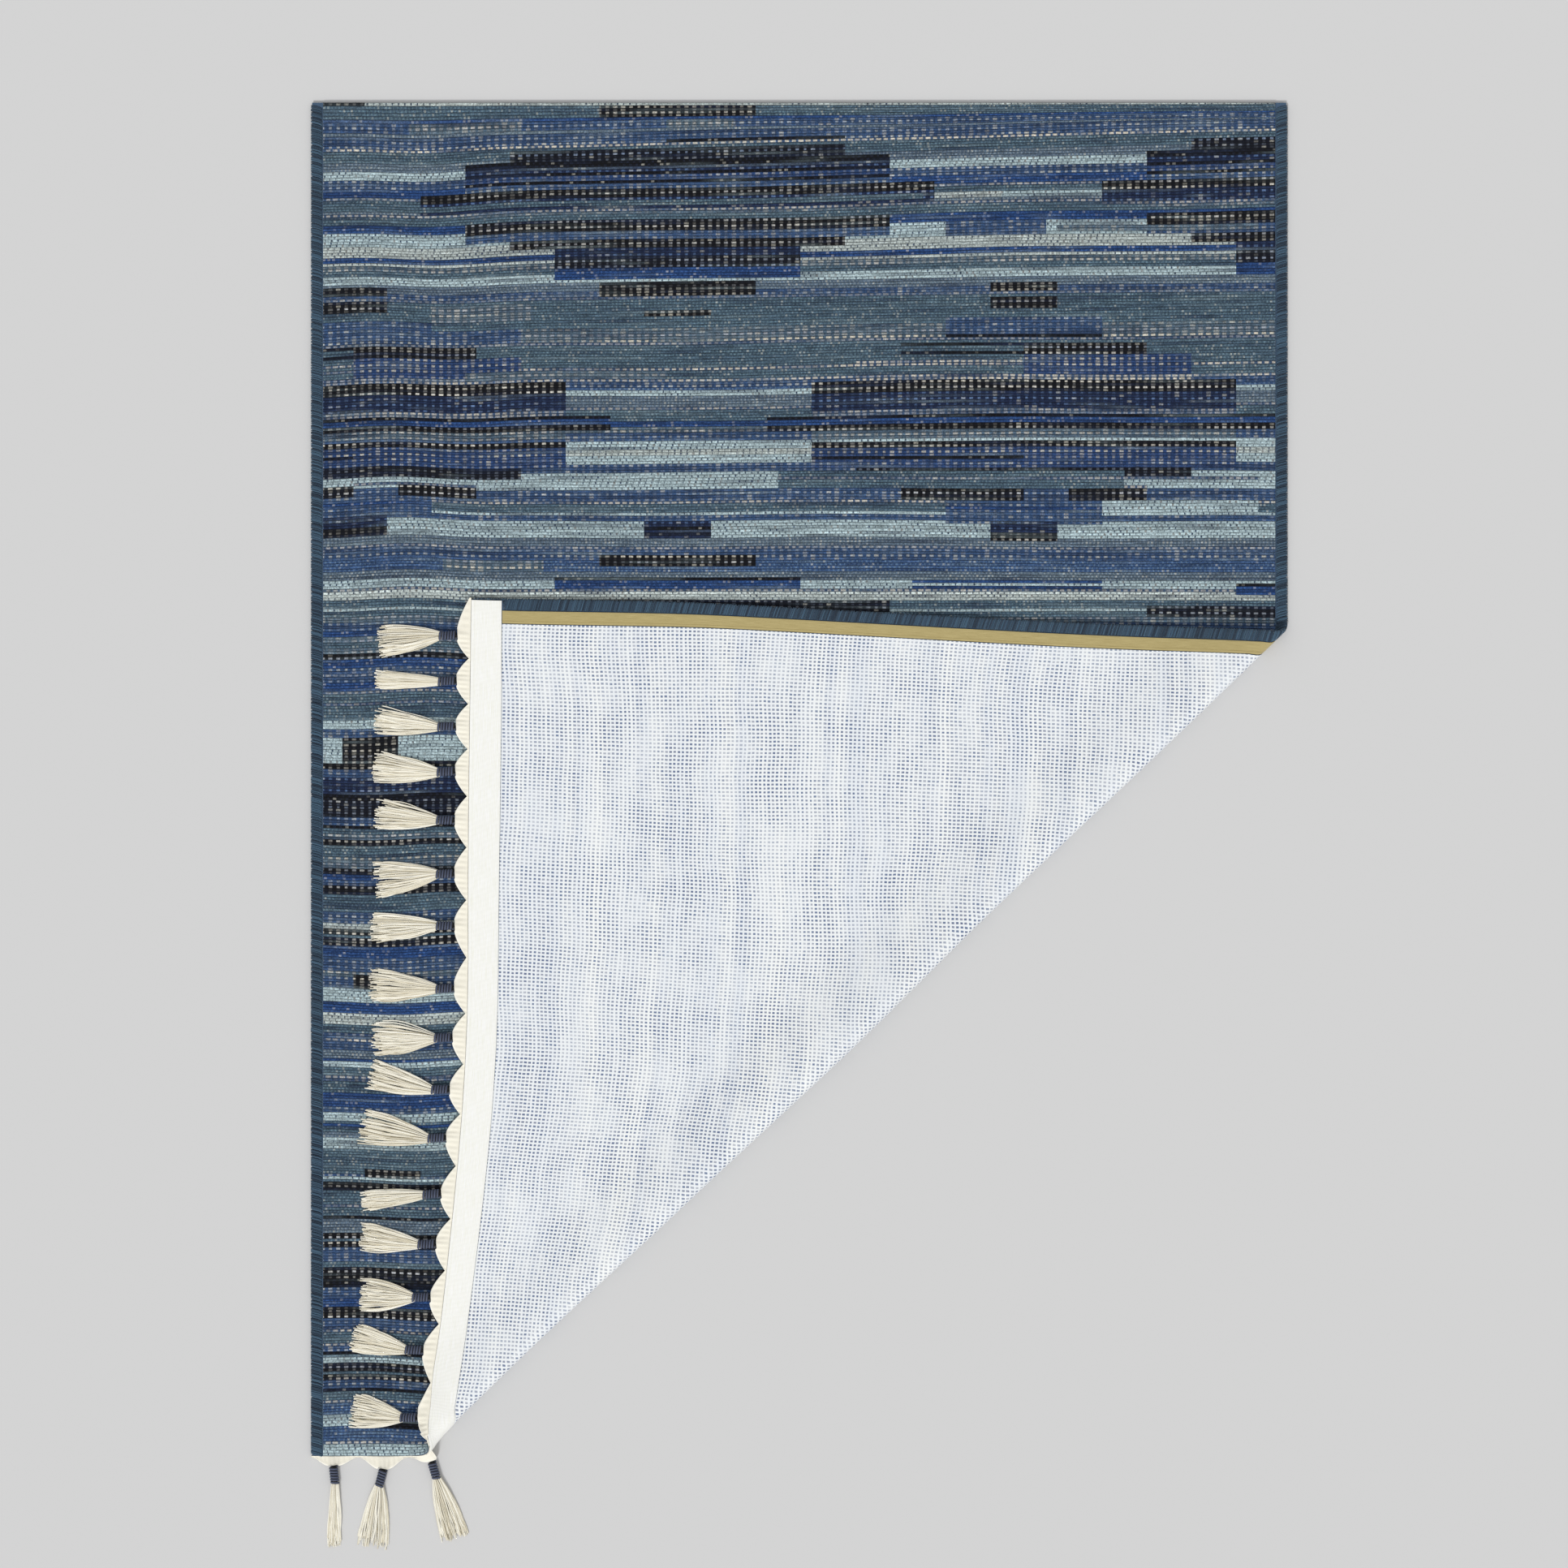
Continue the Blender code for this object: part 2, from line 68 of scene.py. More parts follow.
# The tassels' necks and the heading they hang on, as the solids have them
NECK_LENGTH = 18 * MM
NECK_WIDE = 8.7 * MM
NECK_HIGH = 6 * MM
CUSP_DEPTH = 1.6 * MM
WEB_HALF = 1.0 * MM
ROOT_MIDDLE = 1.5 * MM
LOBE_FALL = 0.6
LOBE_TO_NECK = 0.45 * MM
TURNED_FROM = 3
HANGING = 2
HANGS_AT = np.array((113, -5, 3)) * MM
TASSELS = [
    # along, lobe depth, neck turn, tuft turn, tuft length, tip width
    (21, 9, 6, -1, 57, 13),
    (68, 12, -14, -6, 56, 28),
    (113, 12, 16, 17, 57, 26),
    (146, 13, 0, 11, 45, 31),
    (203, 13, 4, 16, 49, 25),
    (252, 13, 1, 6, 47, 32),
    (301, 13, 0, 10, 53, 26),
    (348, 13, -2, -3, 56, 18),
    (401, 13, 0, 13, 62, 33),
    (447, 13, 2, 17, 58, 27),
    (497, 13, 0, 4, 56, 34),
    (544, 13, 0, 5, 60, 31),
    (603, 13, 2, 1, 59, 27),
    (652, 13, 1, -3, 56, 32),
    (703, 13, 3, 9, 56, 27),
    (750, 13, -2, 8, 58, 28),
    (793, 13, 0, 9, 57, 26),
    (836, 13, 0, 5, 57, 16),
    (879, 13, 0, -3, 55, 30),
]

# The weave: 476 picks of weft, and jacquard steps a quarter of a lozenge's step wide
PICKS = 476
PICK = RUG_LENGTH / PICKS
STEP_WIDE = 10.45 * MM
STEP_ORIGIN = 343.2 * MM
# Darkens every yarn of the face, set so that the face's mean tones come near the photo's
DYE = np.array((0.78, 0.78, 0.76, 1.0))


def linear(hex_colour: str) -> tuple[float, float, float, float]:
    """Turns an sRGB hex colour to linear RGBA.

    Args:
        hex_colour: the colour as "#rrggbb".

    Returns:
        The linear colour with an alpha of one.
    """
    values = [int(hex_colour[i:i + 2], 16) / 255 for i in (1, 3, 5)]
    red, green, blue = [v / 12.92 if v <= 0.04045 else ((v + 0.055) / 1.055) ** 2.4 for v in values]
    return red, green, blue, 1.0


def add_node(tree: bpy.types.NodeTree, kind: str, inputs: dict[Any, Any] | None = None,
             **settings: Any) -> bpy.types.NodeSocket:
    """Adds a node with its settings, values and links.

    Args:
        tree: the node tree.
        kind: the node's type name.
        inputs: socket name or number to a value, or to the socket that feeds it.
        settings: the node's own properties.

    Returns:
        The node's first output, whose node holds the others.
    """
    node = tree.nodes.new(kind)
    for name, value in settings.items():
        setattr(node, name, value)
    for key, value in (inputs or {}).items():
        if isinstance(value, bpy.types.NodeSocket):
            tree.links.new(value, node.inputs[key])
        else:
            node.inputs[key].default_value = value
    return node.outputs[0] if node.outputs else None


def new_finish(name: str, roughness: float, sheen: float) -> tuple[bpy.types.Material, Any]:
    """Starts a finish from its shader.

    Args:
        name: the material's name.
        roughness: the shader's roughness.
        sheen: weight of the fibres' soft sheen.

    Returns:
        The material and its Principled shader node.
    """
    made = bpy.data.materials.new(name)
    made.use_nodes = True
    shader = made.node_tree.nodes["Principled BSDF"]
    shader.inputs["Roughness"].default_value = roughness
    shader.inputs["Sheen Weight"].default_value = sheen
    shader.inputs["Sheen Roughness"].default_value = 0.5
    shader.inputs["IOR"].default_value = 1.5
    return made, shader


def add_mesh(name: str, mesh: bpy.types.Mesh) -> bpy.types.Object:
    """Makes an object of a mesh, at the origin, with its faces turned outwards.

    Args:
        name: the object's name.
        mesh: a closed mesh with its faces all turned one way.

    Returns:
        The object.
    """
    bm = bmesh.new()
    bm.from_mesh(mesh)
    if bm.calc_volume(signed=True) < 0:
        bmesh.ops.reverse_faces(bm, faces=bm.faces)
    bm.to_mesh(mesh)
    bm.free()
    made = bpy.data.objects.new(name, mesh)
    bpy.context.scene.collection.objects.link(made)
    return made


def places_of(mesh: bpy.types.Mesh) -> np.ndarray:
    """Reads a mesh's points.

    Args:
        mesh: the mesh.

    Returns:
        Rows of x, y and z.
    """
    places = np.empty(len(mesh.vertices) * 3)
    mesh.vertices.foreach_get("co", places)
    return places.reshape(-1, 3)


def join_rings(bm: bmesh.types.BMesh, rings: Sequence[Sequence[Any]]) -> None:
    """Joins each ring of points to the next by a band of faces.

    Args:
        bm: the mesh that holds the points.
        rings: the rings, all of one size.
    """
    size = len(rings[0])
    for before, after in zip(rings, rings[1:]):
        for i in range(size):
            j = (i + 1) % size
            bm.faces.new((before[i], before[j], after[j], after[i]))


def settle(piece: bpy.types.Object, node: str) -> None:
    """Hands a finished piece to the frame.

    Args:
        piece: the visual piece.
        node: the CAD node that it stands for.
    """
    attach(piece, BODY)
    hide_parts(node)
    triangles = sum(len(p.vertices) - 2 for p in piece.data.polygons)
    LOG.info("%s: %d triangles for %s", piece.name, triangles, node)


@dataclass(frozen=True)
class FoldedLay:
    """How the flat cloth lies once its corner is turned over, by the rule that the solids follow.

    Lengths are metres, and bends holds rows of a place along the fold and the bend's radius there,
    both in mm. The two pitches are the spacing of a mesh's edges round the bend and past it.
    """

    from_left: float = 104 * MM
    from_end: float = 770 * MM
    inset: float = 11 * MM
    settle_length: float = 75 * MM
    bow: float = 22 * MM
    bow_end: float = 0.98
    bow_skew: float = 1.44
    bend_pitch: float = 1.6 * MM
    settle_pitch: float = 7.5 * MM
    bends: tuple[tuple[float, float], ...] = (
        (0, 13.0), (30, 8.5), (60, 7.0), (150, 6.2), (350, 8.2),
        (550, 10.0), (750, 6.9), (950, 7.3), (1120, 6.4),
    )

    @property
    def along(self) -> np.ndarray:
        """The way along the fold, from the fringed end to the right side."""
        way = np.array((RUG_WIDTH - self.from_left, self.from_end))
        return way / np.hypot(*way)

    @property
    def out(self) -> np.ndarray:
        """The way out of the rug, square to the fold."""
        return np.array((self.along[1], -self.along[0]))

    def beyond(self, u: np.ndarray, v: np.ndarray) -> np.ndarray:
        """How far past the start of the bend each flat place lies."""
        return (u - self.from_left) * self.out[0] + v * self.out[1] + self.inset

    def radius(self, u: np.ndarray, v: np.ndarray) -> np.ndarray:
        """Works out the bend's radius where each flat place crosses it.

        Args:
            u: places from the left side.
            v: places from the fringed end.

        Returns:
            The radii.
        """
        along = (u - self.from_left) * self.along[0] + v * self.along[1]
        places, radii = np.array(self.bends).T * MM
        row = np.clip(np.searchsorted(places, along) - 1, 0, len(places) - 2)
        share = np.clip((along - places[row]) / (places[row + 1] - places[row]), 0, 1)
        return radii[row] + (radii[row + 1] - radii[row]) * share * share * (3 - 2 * share)

    def laid(self, flat: np.ndarray) -> np.ndarray:
        """Lays flat places.

        Args:
            flat: rows of u, v and w.

        Returns:
            Rows of x, y and z.
        """
        u, v, w = np.asarray(flat, float).T
        beyond, radius, offset = self.beyond(u, v), self.radius(u, v), w - THICK / 2
        past = np.maximum(beyond - math.pi * radius, 0)
        turn = np.clip(beyond / radius, 0, math.pi)
        ease = math.pi * np.minimum(past / self.settle_length, 1)
        drop = (THICK / 2 + 2 * radius - SETTLED) / 2
        middle = SETTLED + drop * (1 + np.cos(ease))
        slope = -drop * np.sin(ease) * math.pi / self.settle_length
        tilt = np.hypot(1, slope)
        shift = np.select(
            [beyond <= 0, past <= 0],
            [0, (radius - offset) * np.sin(turn) - beyond],
            -(beyond + past + offset * slope / tilt),
        )
        height = np.select(
            [beyond <= 0, past <= 0],
            [w, THICK / 2 + radius - (radius - offset) * np.cos(turn)],
            middle - offset / tilt,
        )
        x = u + self.out[0] * shift + self._bowed(u, past, radius) - RUG_WIDTH / 2
        return np.stack([x, v + self.out[1] * shift - RUG_LENGTH / 2, height], axis=1)

    def _bowed(self, u: np.ndarray, past: np.ndarray, radius: np.ndarray) -> np.ndarray:
        """Works out how far the turned-over cloth is pushed to the right.

        Args:
            u: places from the left side.
            past: how far past the bend each place lies.
            radius: the bend's radius there.

        Returns:
            The pushes.
        """
        share = (RUG_WIDTH - u) / (RUG_WIDTH - self.from_left) / self.bow_end
        edge = (u - self.from_left) * self.out[0] + self.inset - math.pi * radius
        inside = (edge > 0) & (share > 0) & (share < 1)
        wave = np.sin(math.pi * np.clip(share, 0, 1) ** self.bow_skew)
        return np.where(inside, self.bow * wave * np.minimum(past / np.maximum(edge, MM), 1), 0)

    def lay_point(self, u: float, v: float, w: float) -> np.ndarray:
        """Lays one flat place."""
        return self.laid(np.array([[u, v, w]]))[0]

    def cut_for_fold(self, bm: bmesh.types.BMesh) -> None:
        """Adds edges along the fold wherever a flat mesh will bend, and makes it triangles.

        Args:
            bm: the flat mesh.
        """
        bend_end = math.pi * max(r for _, r in self.bends[1:]) * MM
        cuts = list(np.arange(0, bend_end, self.bend_pitch))
        cuts += list(np.arange(bend_end, bend_end + self.settle_length, self.settle_pitch))
        way = Vector((*self.out, 0))
        start = Vector((self.from_left, 0, 0)) - way * self.inset
        near = [f for f in bm.faces if self._near_bend(f, start, way, cuts[-1])]
        for distance in cuts:
            geometry = {v for f in near for v in f.verts} | {e for f in near for e in f.edges} | set(near)
            result = bmesh.ops.bisect_plane(
                bm, geom=list(geometry), plane_co=start + way * distance, plane_no=way, dist=1e-7
            )
            near = [g for g in result["geom"] if isinstance(g, bmesh.types.BMFace)]
        bmesh.ops.triangulate(bm, faces=bm.faces)

    @staticmethod
    def _near_bend(face: bmesh.types.BMFace, start: Vector, way: Vector, reach: float) -> bool:
        """Whether a face reaches into the stretch that bends."""
        places = [(v.co - start).dot(way) for v in face.verts]
        return max(places) > -MM and min(places) < reach + MM


LAY = FoldedLay()


@dataclass(frozen=True)
class WeaveKind:
    """One way the face is woven: its ground yarn and the yarn that floats over it.

    share is the float's part of each repeat, pitch the repeat's length and shift how far the
    floats move on with each pick: nothing for a grid, a third for twill.
    """

    ground: str
    floats: str
    share: float
    pitch: float = 5.85 * MM
    shift: float = 0.34
    alternate: bool = False


class Weave(Enum):
    """The weaves of the face, named for what they show."""

    TEAL = WeaveKind("#4a6073", "#617a89", 0.42, 3.6 * MM)
    GREY = WeaveKind("#5a6c80", "#7d8c99", 0.40, 3.6 * MM)
    DENIM = WeaveKind("#3b5681", "#5c7799", 0.38, 4.4 * MM)
    DASHED = WeaveKind("#38527a", "#b4b8b8", 0.44, 7.4 * MM, 0.0, True)
    ROYAL = WeaveKind("#26457a", "#33558e", 0.45, 4.4 * MM)
    AQUA = WeaveKind("#b2c7cf", "#33445e", 0.20)
    PALE = WeaveKind("#bfcaca", "#3f4b60", 0.22)
    CREAM = WeaveKind("#4f6478", "#d8d1c2", 0.56, 7.4 * MM, 0.0, True)
    LINE = WeaveKind("#42597a", "#ddd5c6", 0.62, 6.6 * MM, 0.0)
    GRID = WeaveKind("#0c0e17", "#e2dccf", 0.44, 7.4 * MM, 0.0, True)
    SPOT = WeaveKind("#101422", "#98a0ae", 0.42, 7.4 * MM, 0.0, True)
    BLACK = WeaveKind("#0c0e16", "#1b2030", 0.40, 5.85 * MM)
    NAVY = WeaveKind("#1c2949", "#5a76a4", 0.42, 7.4 * MM, 0.0, True)
    MIXED = WeaveKind("#2b4574", "#b9b6ae", 0.44, 7.4 * MM, 0.0, True)


CODES = {
    "T": Weave.TEAL, "G": Weave.GREY, "D": Weave.DASHED, "d": Weave.DENIM, "R": Weave.ROYAL,
    "A": Weave.AQUA, "P": Weave.PALE, "C": Weave.CREAM, "c": Weave.LINE, "K": Weave.GRID,
    "g": Weave.SPOT, "k": Weave.BLACK, "N": Weave.NAVY, "M": Weave.MIXED,
}


@dataclass
class FaceChart:
    """The chart of the face: stripes from the far end down, figures on top of them.

    A stripe is a weave's code and its number of picks. A figure's rows are "from-to:left,right
    code": picks from the far end, steps from the figure's middle, and the weave's code.
    """

    stripes: str = (
        "P1 T4 R1 D3 G1 D4 c1 T4 G3 A3 D3 R3 c1 T2 A2 G1 c1 T3 R3 A5 P4 R2 P1 C2 T2 A3 G3 D2 c1 "
        "T8 T2 C5 c1 T8 c1 T3 c1 D2 d1 A2 G4 c1 T4 R2 C2 D3 A3 P2 A3 D3 A6 D4 c1 T3 A1 D2 A6 G3 "
        "c1 D4 d4 G3 A3 c1 P3 T3 A1 T2 C2 D3 R2 C2 T2 C2 K2 R3 D2 c1 D2 R3 c1 T3 c1 T5 A3 D3 A9 "
        "K2 D3 N6 k2 g6 D3 k1 T2 C2 K2 T4 C4 K2 R2 D2 K3 T6 D4 P2 K2 T1 K3 R4 D5 C2 D4 A5 R4 P4 "
        "T3 D2 c1 D3 G3 R1 A2 T3 c2 T4 R5 D2 A3 T1 R1 T2 G2 A4 T9 D1 A1 T1 K2 k1 T5 c1 T3 k1 G5 "
        "K2 T1 K2 D5 T2 K4 k3 D4 R3 K4 D4 c1 T4 c1 D2 k1 T1 A2 K3 T1 K2 D3 k1 T3 c1 d4 A4 d5 c1 A4"
    )
    upper: str = (
        "1-5:-7,7K 13-14:-1,15k 16-20:-15,15g 20-22:-19,19k 22-24:-19,19N 24-25:-19,19k "
        "25-27:-19,19M 27-28:-19,19k 28-30:-19,19D 30-33:-23,23K 33-37:-23,23N 37-38:-23,23c "
        "38-39:-19,19C 41-45:-19,19K 45-48:-19,19D 48-51:-15,15K 51-54:-11,11N 54-58:-11,11g "
        "58-62:-11,11R 63-64:-7,7k 64-68:-7,7K 73-75:-3,3K"
    )
    lower: str = (
        "65-68:-3,3K 70-74:-3,3K 77-83:-7,7D 83-84:-7,7k 86-90:0,11K 86-87:-11,0k 89-90:-11,0k "
        "90-97:0,15M 92-93:-15,0c 97-99:-15,15c 99-103:-19,19K 103-109:-19,19N 109-111:-19,19c "
        "111-112:-23,23k 112-114:-23,23R 114-116:-23,23K 116-119:-19,19C 120-122:-19,19K "
        "122-129:-19,19M 125-126:-19,0k 129-133:-15,15g 135-136:0,11c 136-140:-11,0K 136-140:4,11K "
        "140-148:-7,7D 142-143:-7,7R 147-151:-3,3N 151-154:-3,3K"
    )
    next_upper: str = (
        "147-153:-3,3N 149-150:-3,3k 151-152:-3,3k 159-163:-7,7K 167-168:-11,11k 168-171:-11,11R "
        "175-179:-19,19g"
    )
    patches: str = (
        "0-1:-33,-28K 6-9:-24,-14C 6-9:-1,5C 34-36:-33,22T 34-36:23,29P 44-49:24,33D "
        "46-48:34,52C 70-76:-22,-13C 79-84:-33,-14D 94-97:-19,-1C 130-136:9,40T 132-133:9,52c "
        "140-144:38,52A 161-165:-21,-12C 168-171:-10,11R 168-171:21,38R 169-170:11,38A "
        "223-232:-30,-25K 306-311:-29,-27K 375-378:-28,-23K 464-467:-29,-23k 466-467:-23,-19D"
    )
    seed: int = 11

    def weaves(self) -> tuple[np.ndarray, int]:
        """Lays the chart out.

        Returns:
            An array of weave numbers by pick from the far end and by step, and the first step.
        """
        first = -math.ceil(STEP_ORIGIN / STEP_WIDE)
        steps = math.ceil(RUG_WIDTH / STEP_WIDE) + 1
        numbers = {code: list(Weave).index(weave) for code, weave in CODES.items()}
        chart = np.full((PICKS, steps), numbers["T"])
        row = 0
        for stripe in self.stripes.split():
            picks = int(stripe[1:])
            chart[row:row + picks] = numbers[stripe[0]]
            row += picks
        LOG.info("the stripes fill %d of %d picks", row, PICKS)
        # Figures a lozenge's step apart, half dropped, and the single patches last
        for figure, middle, down in (
            (self.upper, 0, 0), (self.upper, 61, 1), (self.lower, 31, 0), (self.lower, -29, -1),
            (self.next_upper, 0, 0), (self.next_upper, 61, 2), (self.patches, 0, 0),
        ):
            for part in figure.split():
                rows, columns = part[:-1].split(":")
                top, bottom = (int(n) + down for n in rows.split("-"))
                left, right = (max(int(n) + middle - first, 0) for n in columns.split(","))
                chart[max(top, 0):max(bottom, 0), left:right] = numbers[part[-1]]
        return chart, first


@dataclass(frozen=True)
class PickWander:
    """How the picks wander from level: up to the right near the far end, with a sway at the left.

    rises holds rows of a place from the fringed end in mm and the rise in each metre of width.
    The rise is held level right of level_from, within level_reach of its second place.
    """

    rises: tuple[tuple[float, float], ...] = ((876, 0.0), (967, 0.013), (1100, 0.015), (1180, 0.024))
    level_from: float = 665 * MM
    level_reach: float = 120 * MM
    sway: float = 2.2 * MM
    sway_waves: tuple[float, float] = (34 * MM, 160 * MM)
    sway_middle: float = 90 * MM
    sway_reach: float = 90 * MM
    ripple: float = 0.9 * MM
    ripple_waves: tuple[float, float, float] = (61 * MM, 71 * MM, 43 * MM)
    pinned_near: float = 25 * MM
    pinned_far: float = 30 * MM
    rounds: int = 6

    def up(self, u: np.ndarray, v: np.ndarray) -> np.ndarray:
        """Works out how far the picks have wandered up.

        Args:
            u: places from the left side.
            v: places from the fringed end, in the unwandering weave.

        Returns:
            The distances.
        """
        places, slopes = np.array(self.rises).T
        rise = np.interp(v, places * MM, slopes) * (u - STEP_ORIGIN)
        eased = np.exp(-((v - places[1] * MM) / self.level_reach) ** 2)
        rise = rise - slopes[1] * np.maximum(u - self.level_from, 0) * eased
        across, along = self.sway_waves
        sway = self.sway * np.sin(u / across + v / along)
        sway = sway * np.exp(-((u - self.sway_middle) / self.sway_reach) ** 2)
        across, along, turn = self.ripple_waves
        ripple = self.ripple * np.sin(u / across + v / along) * np.sin(v / turn)
        pinned = np.clip(v / self.pinned_near, 0, 1) * np.clip((RUG_LENGTH - v) / self.pinned_far, 0, 1)
        return (rise + sway + ripple) * pinned

    def undone(self, u: np.ndarray, v: np.ndarray) -> np.ndarray:
        """Finds where a place on the cloth lies in the unwandering weave.

        Args:
            u: places from the left side.
            v: places from the fringed end.

        Returns:
            The places from the fringed end in the unwandering weave.
        """
        place = v.copy()
        for _ in range(self.rounds):
            place = v - self.up(u, place)
        return place


@dataclass
class RugCloth:
    """The jacquard flatweave with its gauze back: one closed sheet with the serged sides let in."""

    back_picks: int = 7
    back_steps: int = 4
    hem_round: float = 0.75 * MM
    # The share of its float's colour that a weaker pick keeps
    weaker_share: float = 0.22
    chart: FaceChart = field(default_factory=FaceChart)
    wander: PickWander = PickWander()

    def build(self) -> bpy.types.Object:
        """Makes the sheet flat, cuts it for the fold, dresses it and lays it.

        Returns:
            The cloth.
        """
        inset, step = LAYER + GAP, SERGE_REACH + GAP
        first = math.ceil((step + RAMP - STEP_ORIGIN) / STEP_WIDE + 0.2)
        last = math.floor((RUG_WIDTH - step - RAMP - STEP_ORIGIN) / STEP_WIDE - 0.2)
        steps = [STEP_ORIGIN + STEP_WIDE * i for i in range(first, last + 1)]
        gold = step + GOLD_WIDTH + GAP
        left = [(inset, inset), (step, inset), (step + RAMP, 0)]
        face_columns = left + [(u, 0) for u in steps] + [(RUG_WIDTH - u, d) for u, d in reversed(left)]
        back_columns = left + [(u, 0) for u in steps[self.back_steps:-self.back_steps:self.back_steps]]
        back_columns += [(RUG_WIDTH - gold - RAMP, 0)]
        back_columns += [(RUG_WIDTH - gold, inset), (RUG_WIDTH - inset, inset)]
        tape = WHITE_WIDTH + GAP
        back_rows = [(0, inset), (tape, inset), (tape + RAMP, 0)]
        back_rows += [(PICK * i, 0) for i in range(3 * self.back_picks, PICKS, self.back_picks)]
        back_rows += [(RUG_LENGTH, self.hem_round)]

        bm = bmesh.new()
        face = []
        for i in range(PICKS + 1):
            u = np.array([c[0] for c in face_columns])
            v = np.full_like(u, PICK * i)
            lowered = self.hem_round if i in (0, PICKS) else 0
            rows = zip(u, v + self.wander.up(u, v), face_columns)
            face.append([bm.verts.new((x, y, THICK - max(c[1], lowered))) for x, y, c in rows])
        back = [
            [bm.verts.new((u, v, max(du, dv))) for u, du in back_columns] for v, dv in back_rows
        ]
        self._grid(bm, face, 0, False, (2, 2))
        self._grid(bm, back, 1, True, (2, 2))
        for low, high in (
            (back[0], face[0]),
            (back[-1][::-1], face[-1][::-1]),
            ([r[-1] for r in back], [r[-1] for r in face]),
            ([r[0] for r in back][::-1], [r[0] for r in face][::-1]),
        ):
            self._close_rim(bm, low, high)
        LAY.cut_for_fold(bm)
        mesh = bpy.data.meshes.new("rug_cloth_woven")
        bm.to_mesh(mesh)
        bm.free()
        for finish in (FaceFinish().material(), GauzeFinish().material(), RimFinish().material()):
            mesh.materials.append(finish)
        self._dress(mesh)
        mesh.vertices.foreach_set("co", LAY.laid(places_of(mesh)).ravel())
        mesh.shade_smooth()
        mesh.set_sharp_from_angle(angle=math.radians(50))
        piece = add_mesh("rug_cloth_woven", mesh)
        settle(piece, "rug_cloth")
        return piece

    @staticmethod
    def _grid(bm: bmesh.types.BMesh, rows: Sequence[Sequence[Any]], finish: int, back: bool,
              covered: tuple[int, int]) -> None:
        """Adds a grid of faces between rows of points.

        Args:
            bm: the flat mesh.
            rows: the points.
            finish: number of the finish.
            back: whether the faces are turned down.
            covered: columns at the left and at the right that lie under the edge's yarn.
        """
        for low, high in zip(rows, rows[1:]):
            last = len(low) - 1
            for i in range(last):
                corners = (low[i], low[i + 1], high[i + 1], high[i])
                made = bm.faces.new(corners[::-1] if back else corners)
                made.material_index = 2 if i < covered[0] or i >= last - covered[1] else finish

    @staticmethod
    def _close_rim(bm: bmesh.types.BMesh, low: Sequence[Any], high: Sequence[Any]) -> None:
        """Closes the rim between the back's edge and the face's finer edge.

        Args:
            bm: the flat mesh.
            low: the back's points along the edge.
            high: the face's points along it, the same way round.
        """
        taken = 0
        for i in range(len(low) - 1):
            if i == len(low) - 2:
                reach = len(high) - 1
            else:
                distances = [(high[k].co.xy - low[i + 1].co.xy).length for k in range(taken, len(high))]
                reach = taken + int(np.argmin(distances))
            top = [high[k] for k in range(reach, taken - 1, -1)]
            bm.faces.new([low[i], low[i + 1], *top]).material_index = 2
            taken = reach

    def _dress(self, mesh: bpy.types.Mesh) -> None:
        """Writes each face's yarns and weave coordinates, by its place in the chart.

        Args:
            mesh: the flat mesh, all triangles.
        """
        chart, first = self.chart.weaves()
        kinds = [w.value for w in Weave]
        count = len(mesh.polygons)
        corners = np.empty(len(mesh.loops), int)
        mesh.loops.foreach_get("vertex_index", corners)
        at = places_of(mesh)[corners].reshape(count, 3, 3)
        v = self.wander.undone(at[..., 0], at[..., 1])
        middle_u, middle_v = at[..., 0].mean(1), v.mean(1)
        pick = np.clip((middle_v / PICK).astype(int), 0, PICKS - 1)
        step = np.floor((middle_u - STEP_ORIGIN) / STEP_WIDE).astype(int) - first
        kind = chart[PICKS - 1 - pick, np.clip(step, 0, chart.shape[1] - 1)]

        draw = np.random.default_rng(self.chart.seed)
        tone = 1 + draw.normal(0, 0.07, PICKS)
        dimmed = draw.uniform(0.3, 1.0, PICKS)
        slip = draw.uniform(0, 1, PICKS)
        bluer = draw.uniform(0, 0.75, PICKS) ** 1.5
        ground = np.array([linear(k.ground) for k in kinds])[kind] * DYE
        floats = np.array([linear(k.floats) for k in kinds])[kind] * DYE
        weaker = np.array([k.alternate for k in kinds])[kind] & (pick % 2 == 1)
        in_line = np.array([k.shift == 0 for k in kinds])[kind]
        mix = (np.where(weaker, self.weaker_share, 1.0) * np.where(in_line, dimmed[pick], 1))[:, None]
        tint = (bluer[pick] * in_line)[:, None]
        floats = floats + (np.array(linear("#6f87ad")) * DYE - floats) * tint
        floats = ground + (floats - ground) * mix
        ground = ground * tone[pick][:, None]
        floats[:, 3] = np.array([k.share for k in kinds])[kind]
        pitch = np.array([k.pitch for k in kinds])[kind][:, None]
        shift = np.array([k.shift for k in kinds])[kind]
        loose = np.where(shift == 0, 0, slip[pick])
        phase = at[..., 0] / pitch + (pick * shift + loose)[:, None]

        for name, values in (("ground_yarn", ground), ("float_yarn", floats)):
            layer = mesh.color_attributes.new(name, "FLOAT_COLOR", "CORNER")
            layer.data.foreach_set("color", np.repeat(values, 3, axis=0).ravel())
        for name, across, up in (("weave", phase, v / PICK), ("cloth", at[..., 0], at[..., 1])):
            layer = mesh.uv_layers.new(name=name)
            layer.data.foreach_set("uv", np.stack([across.ravel(), up.ravel()], 1).ravel())


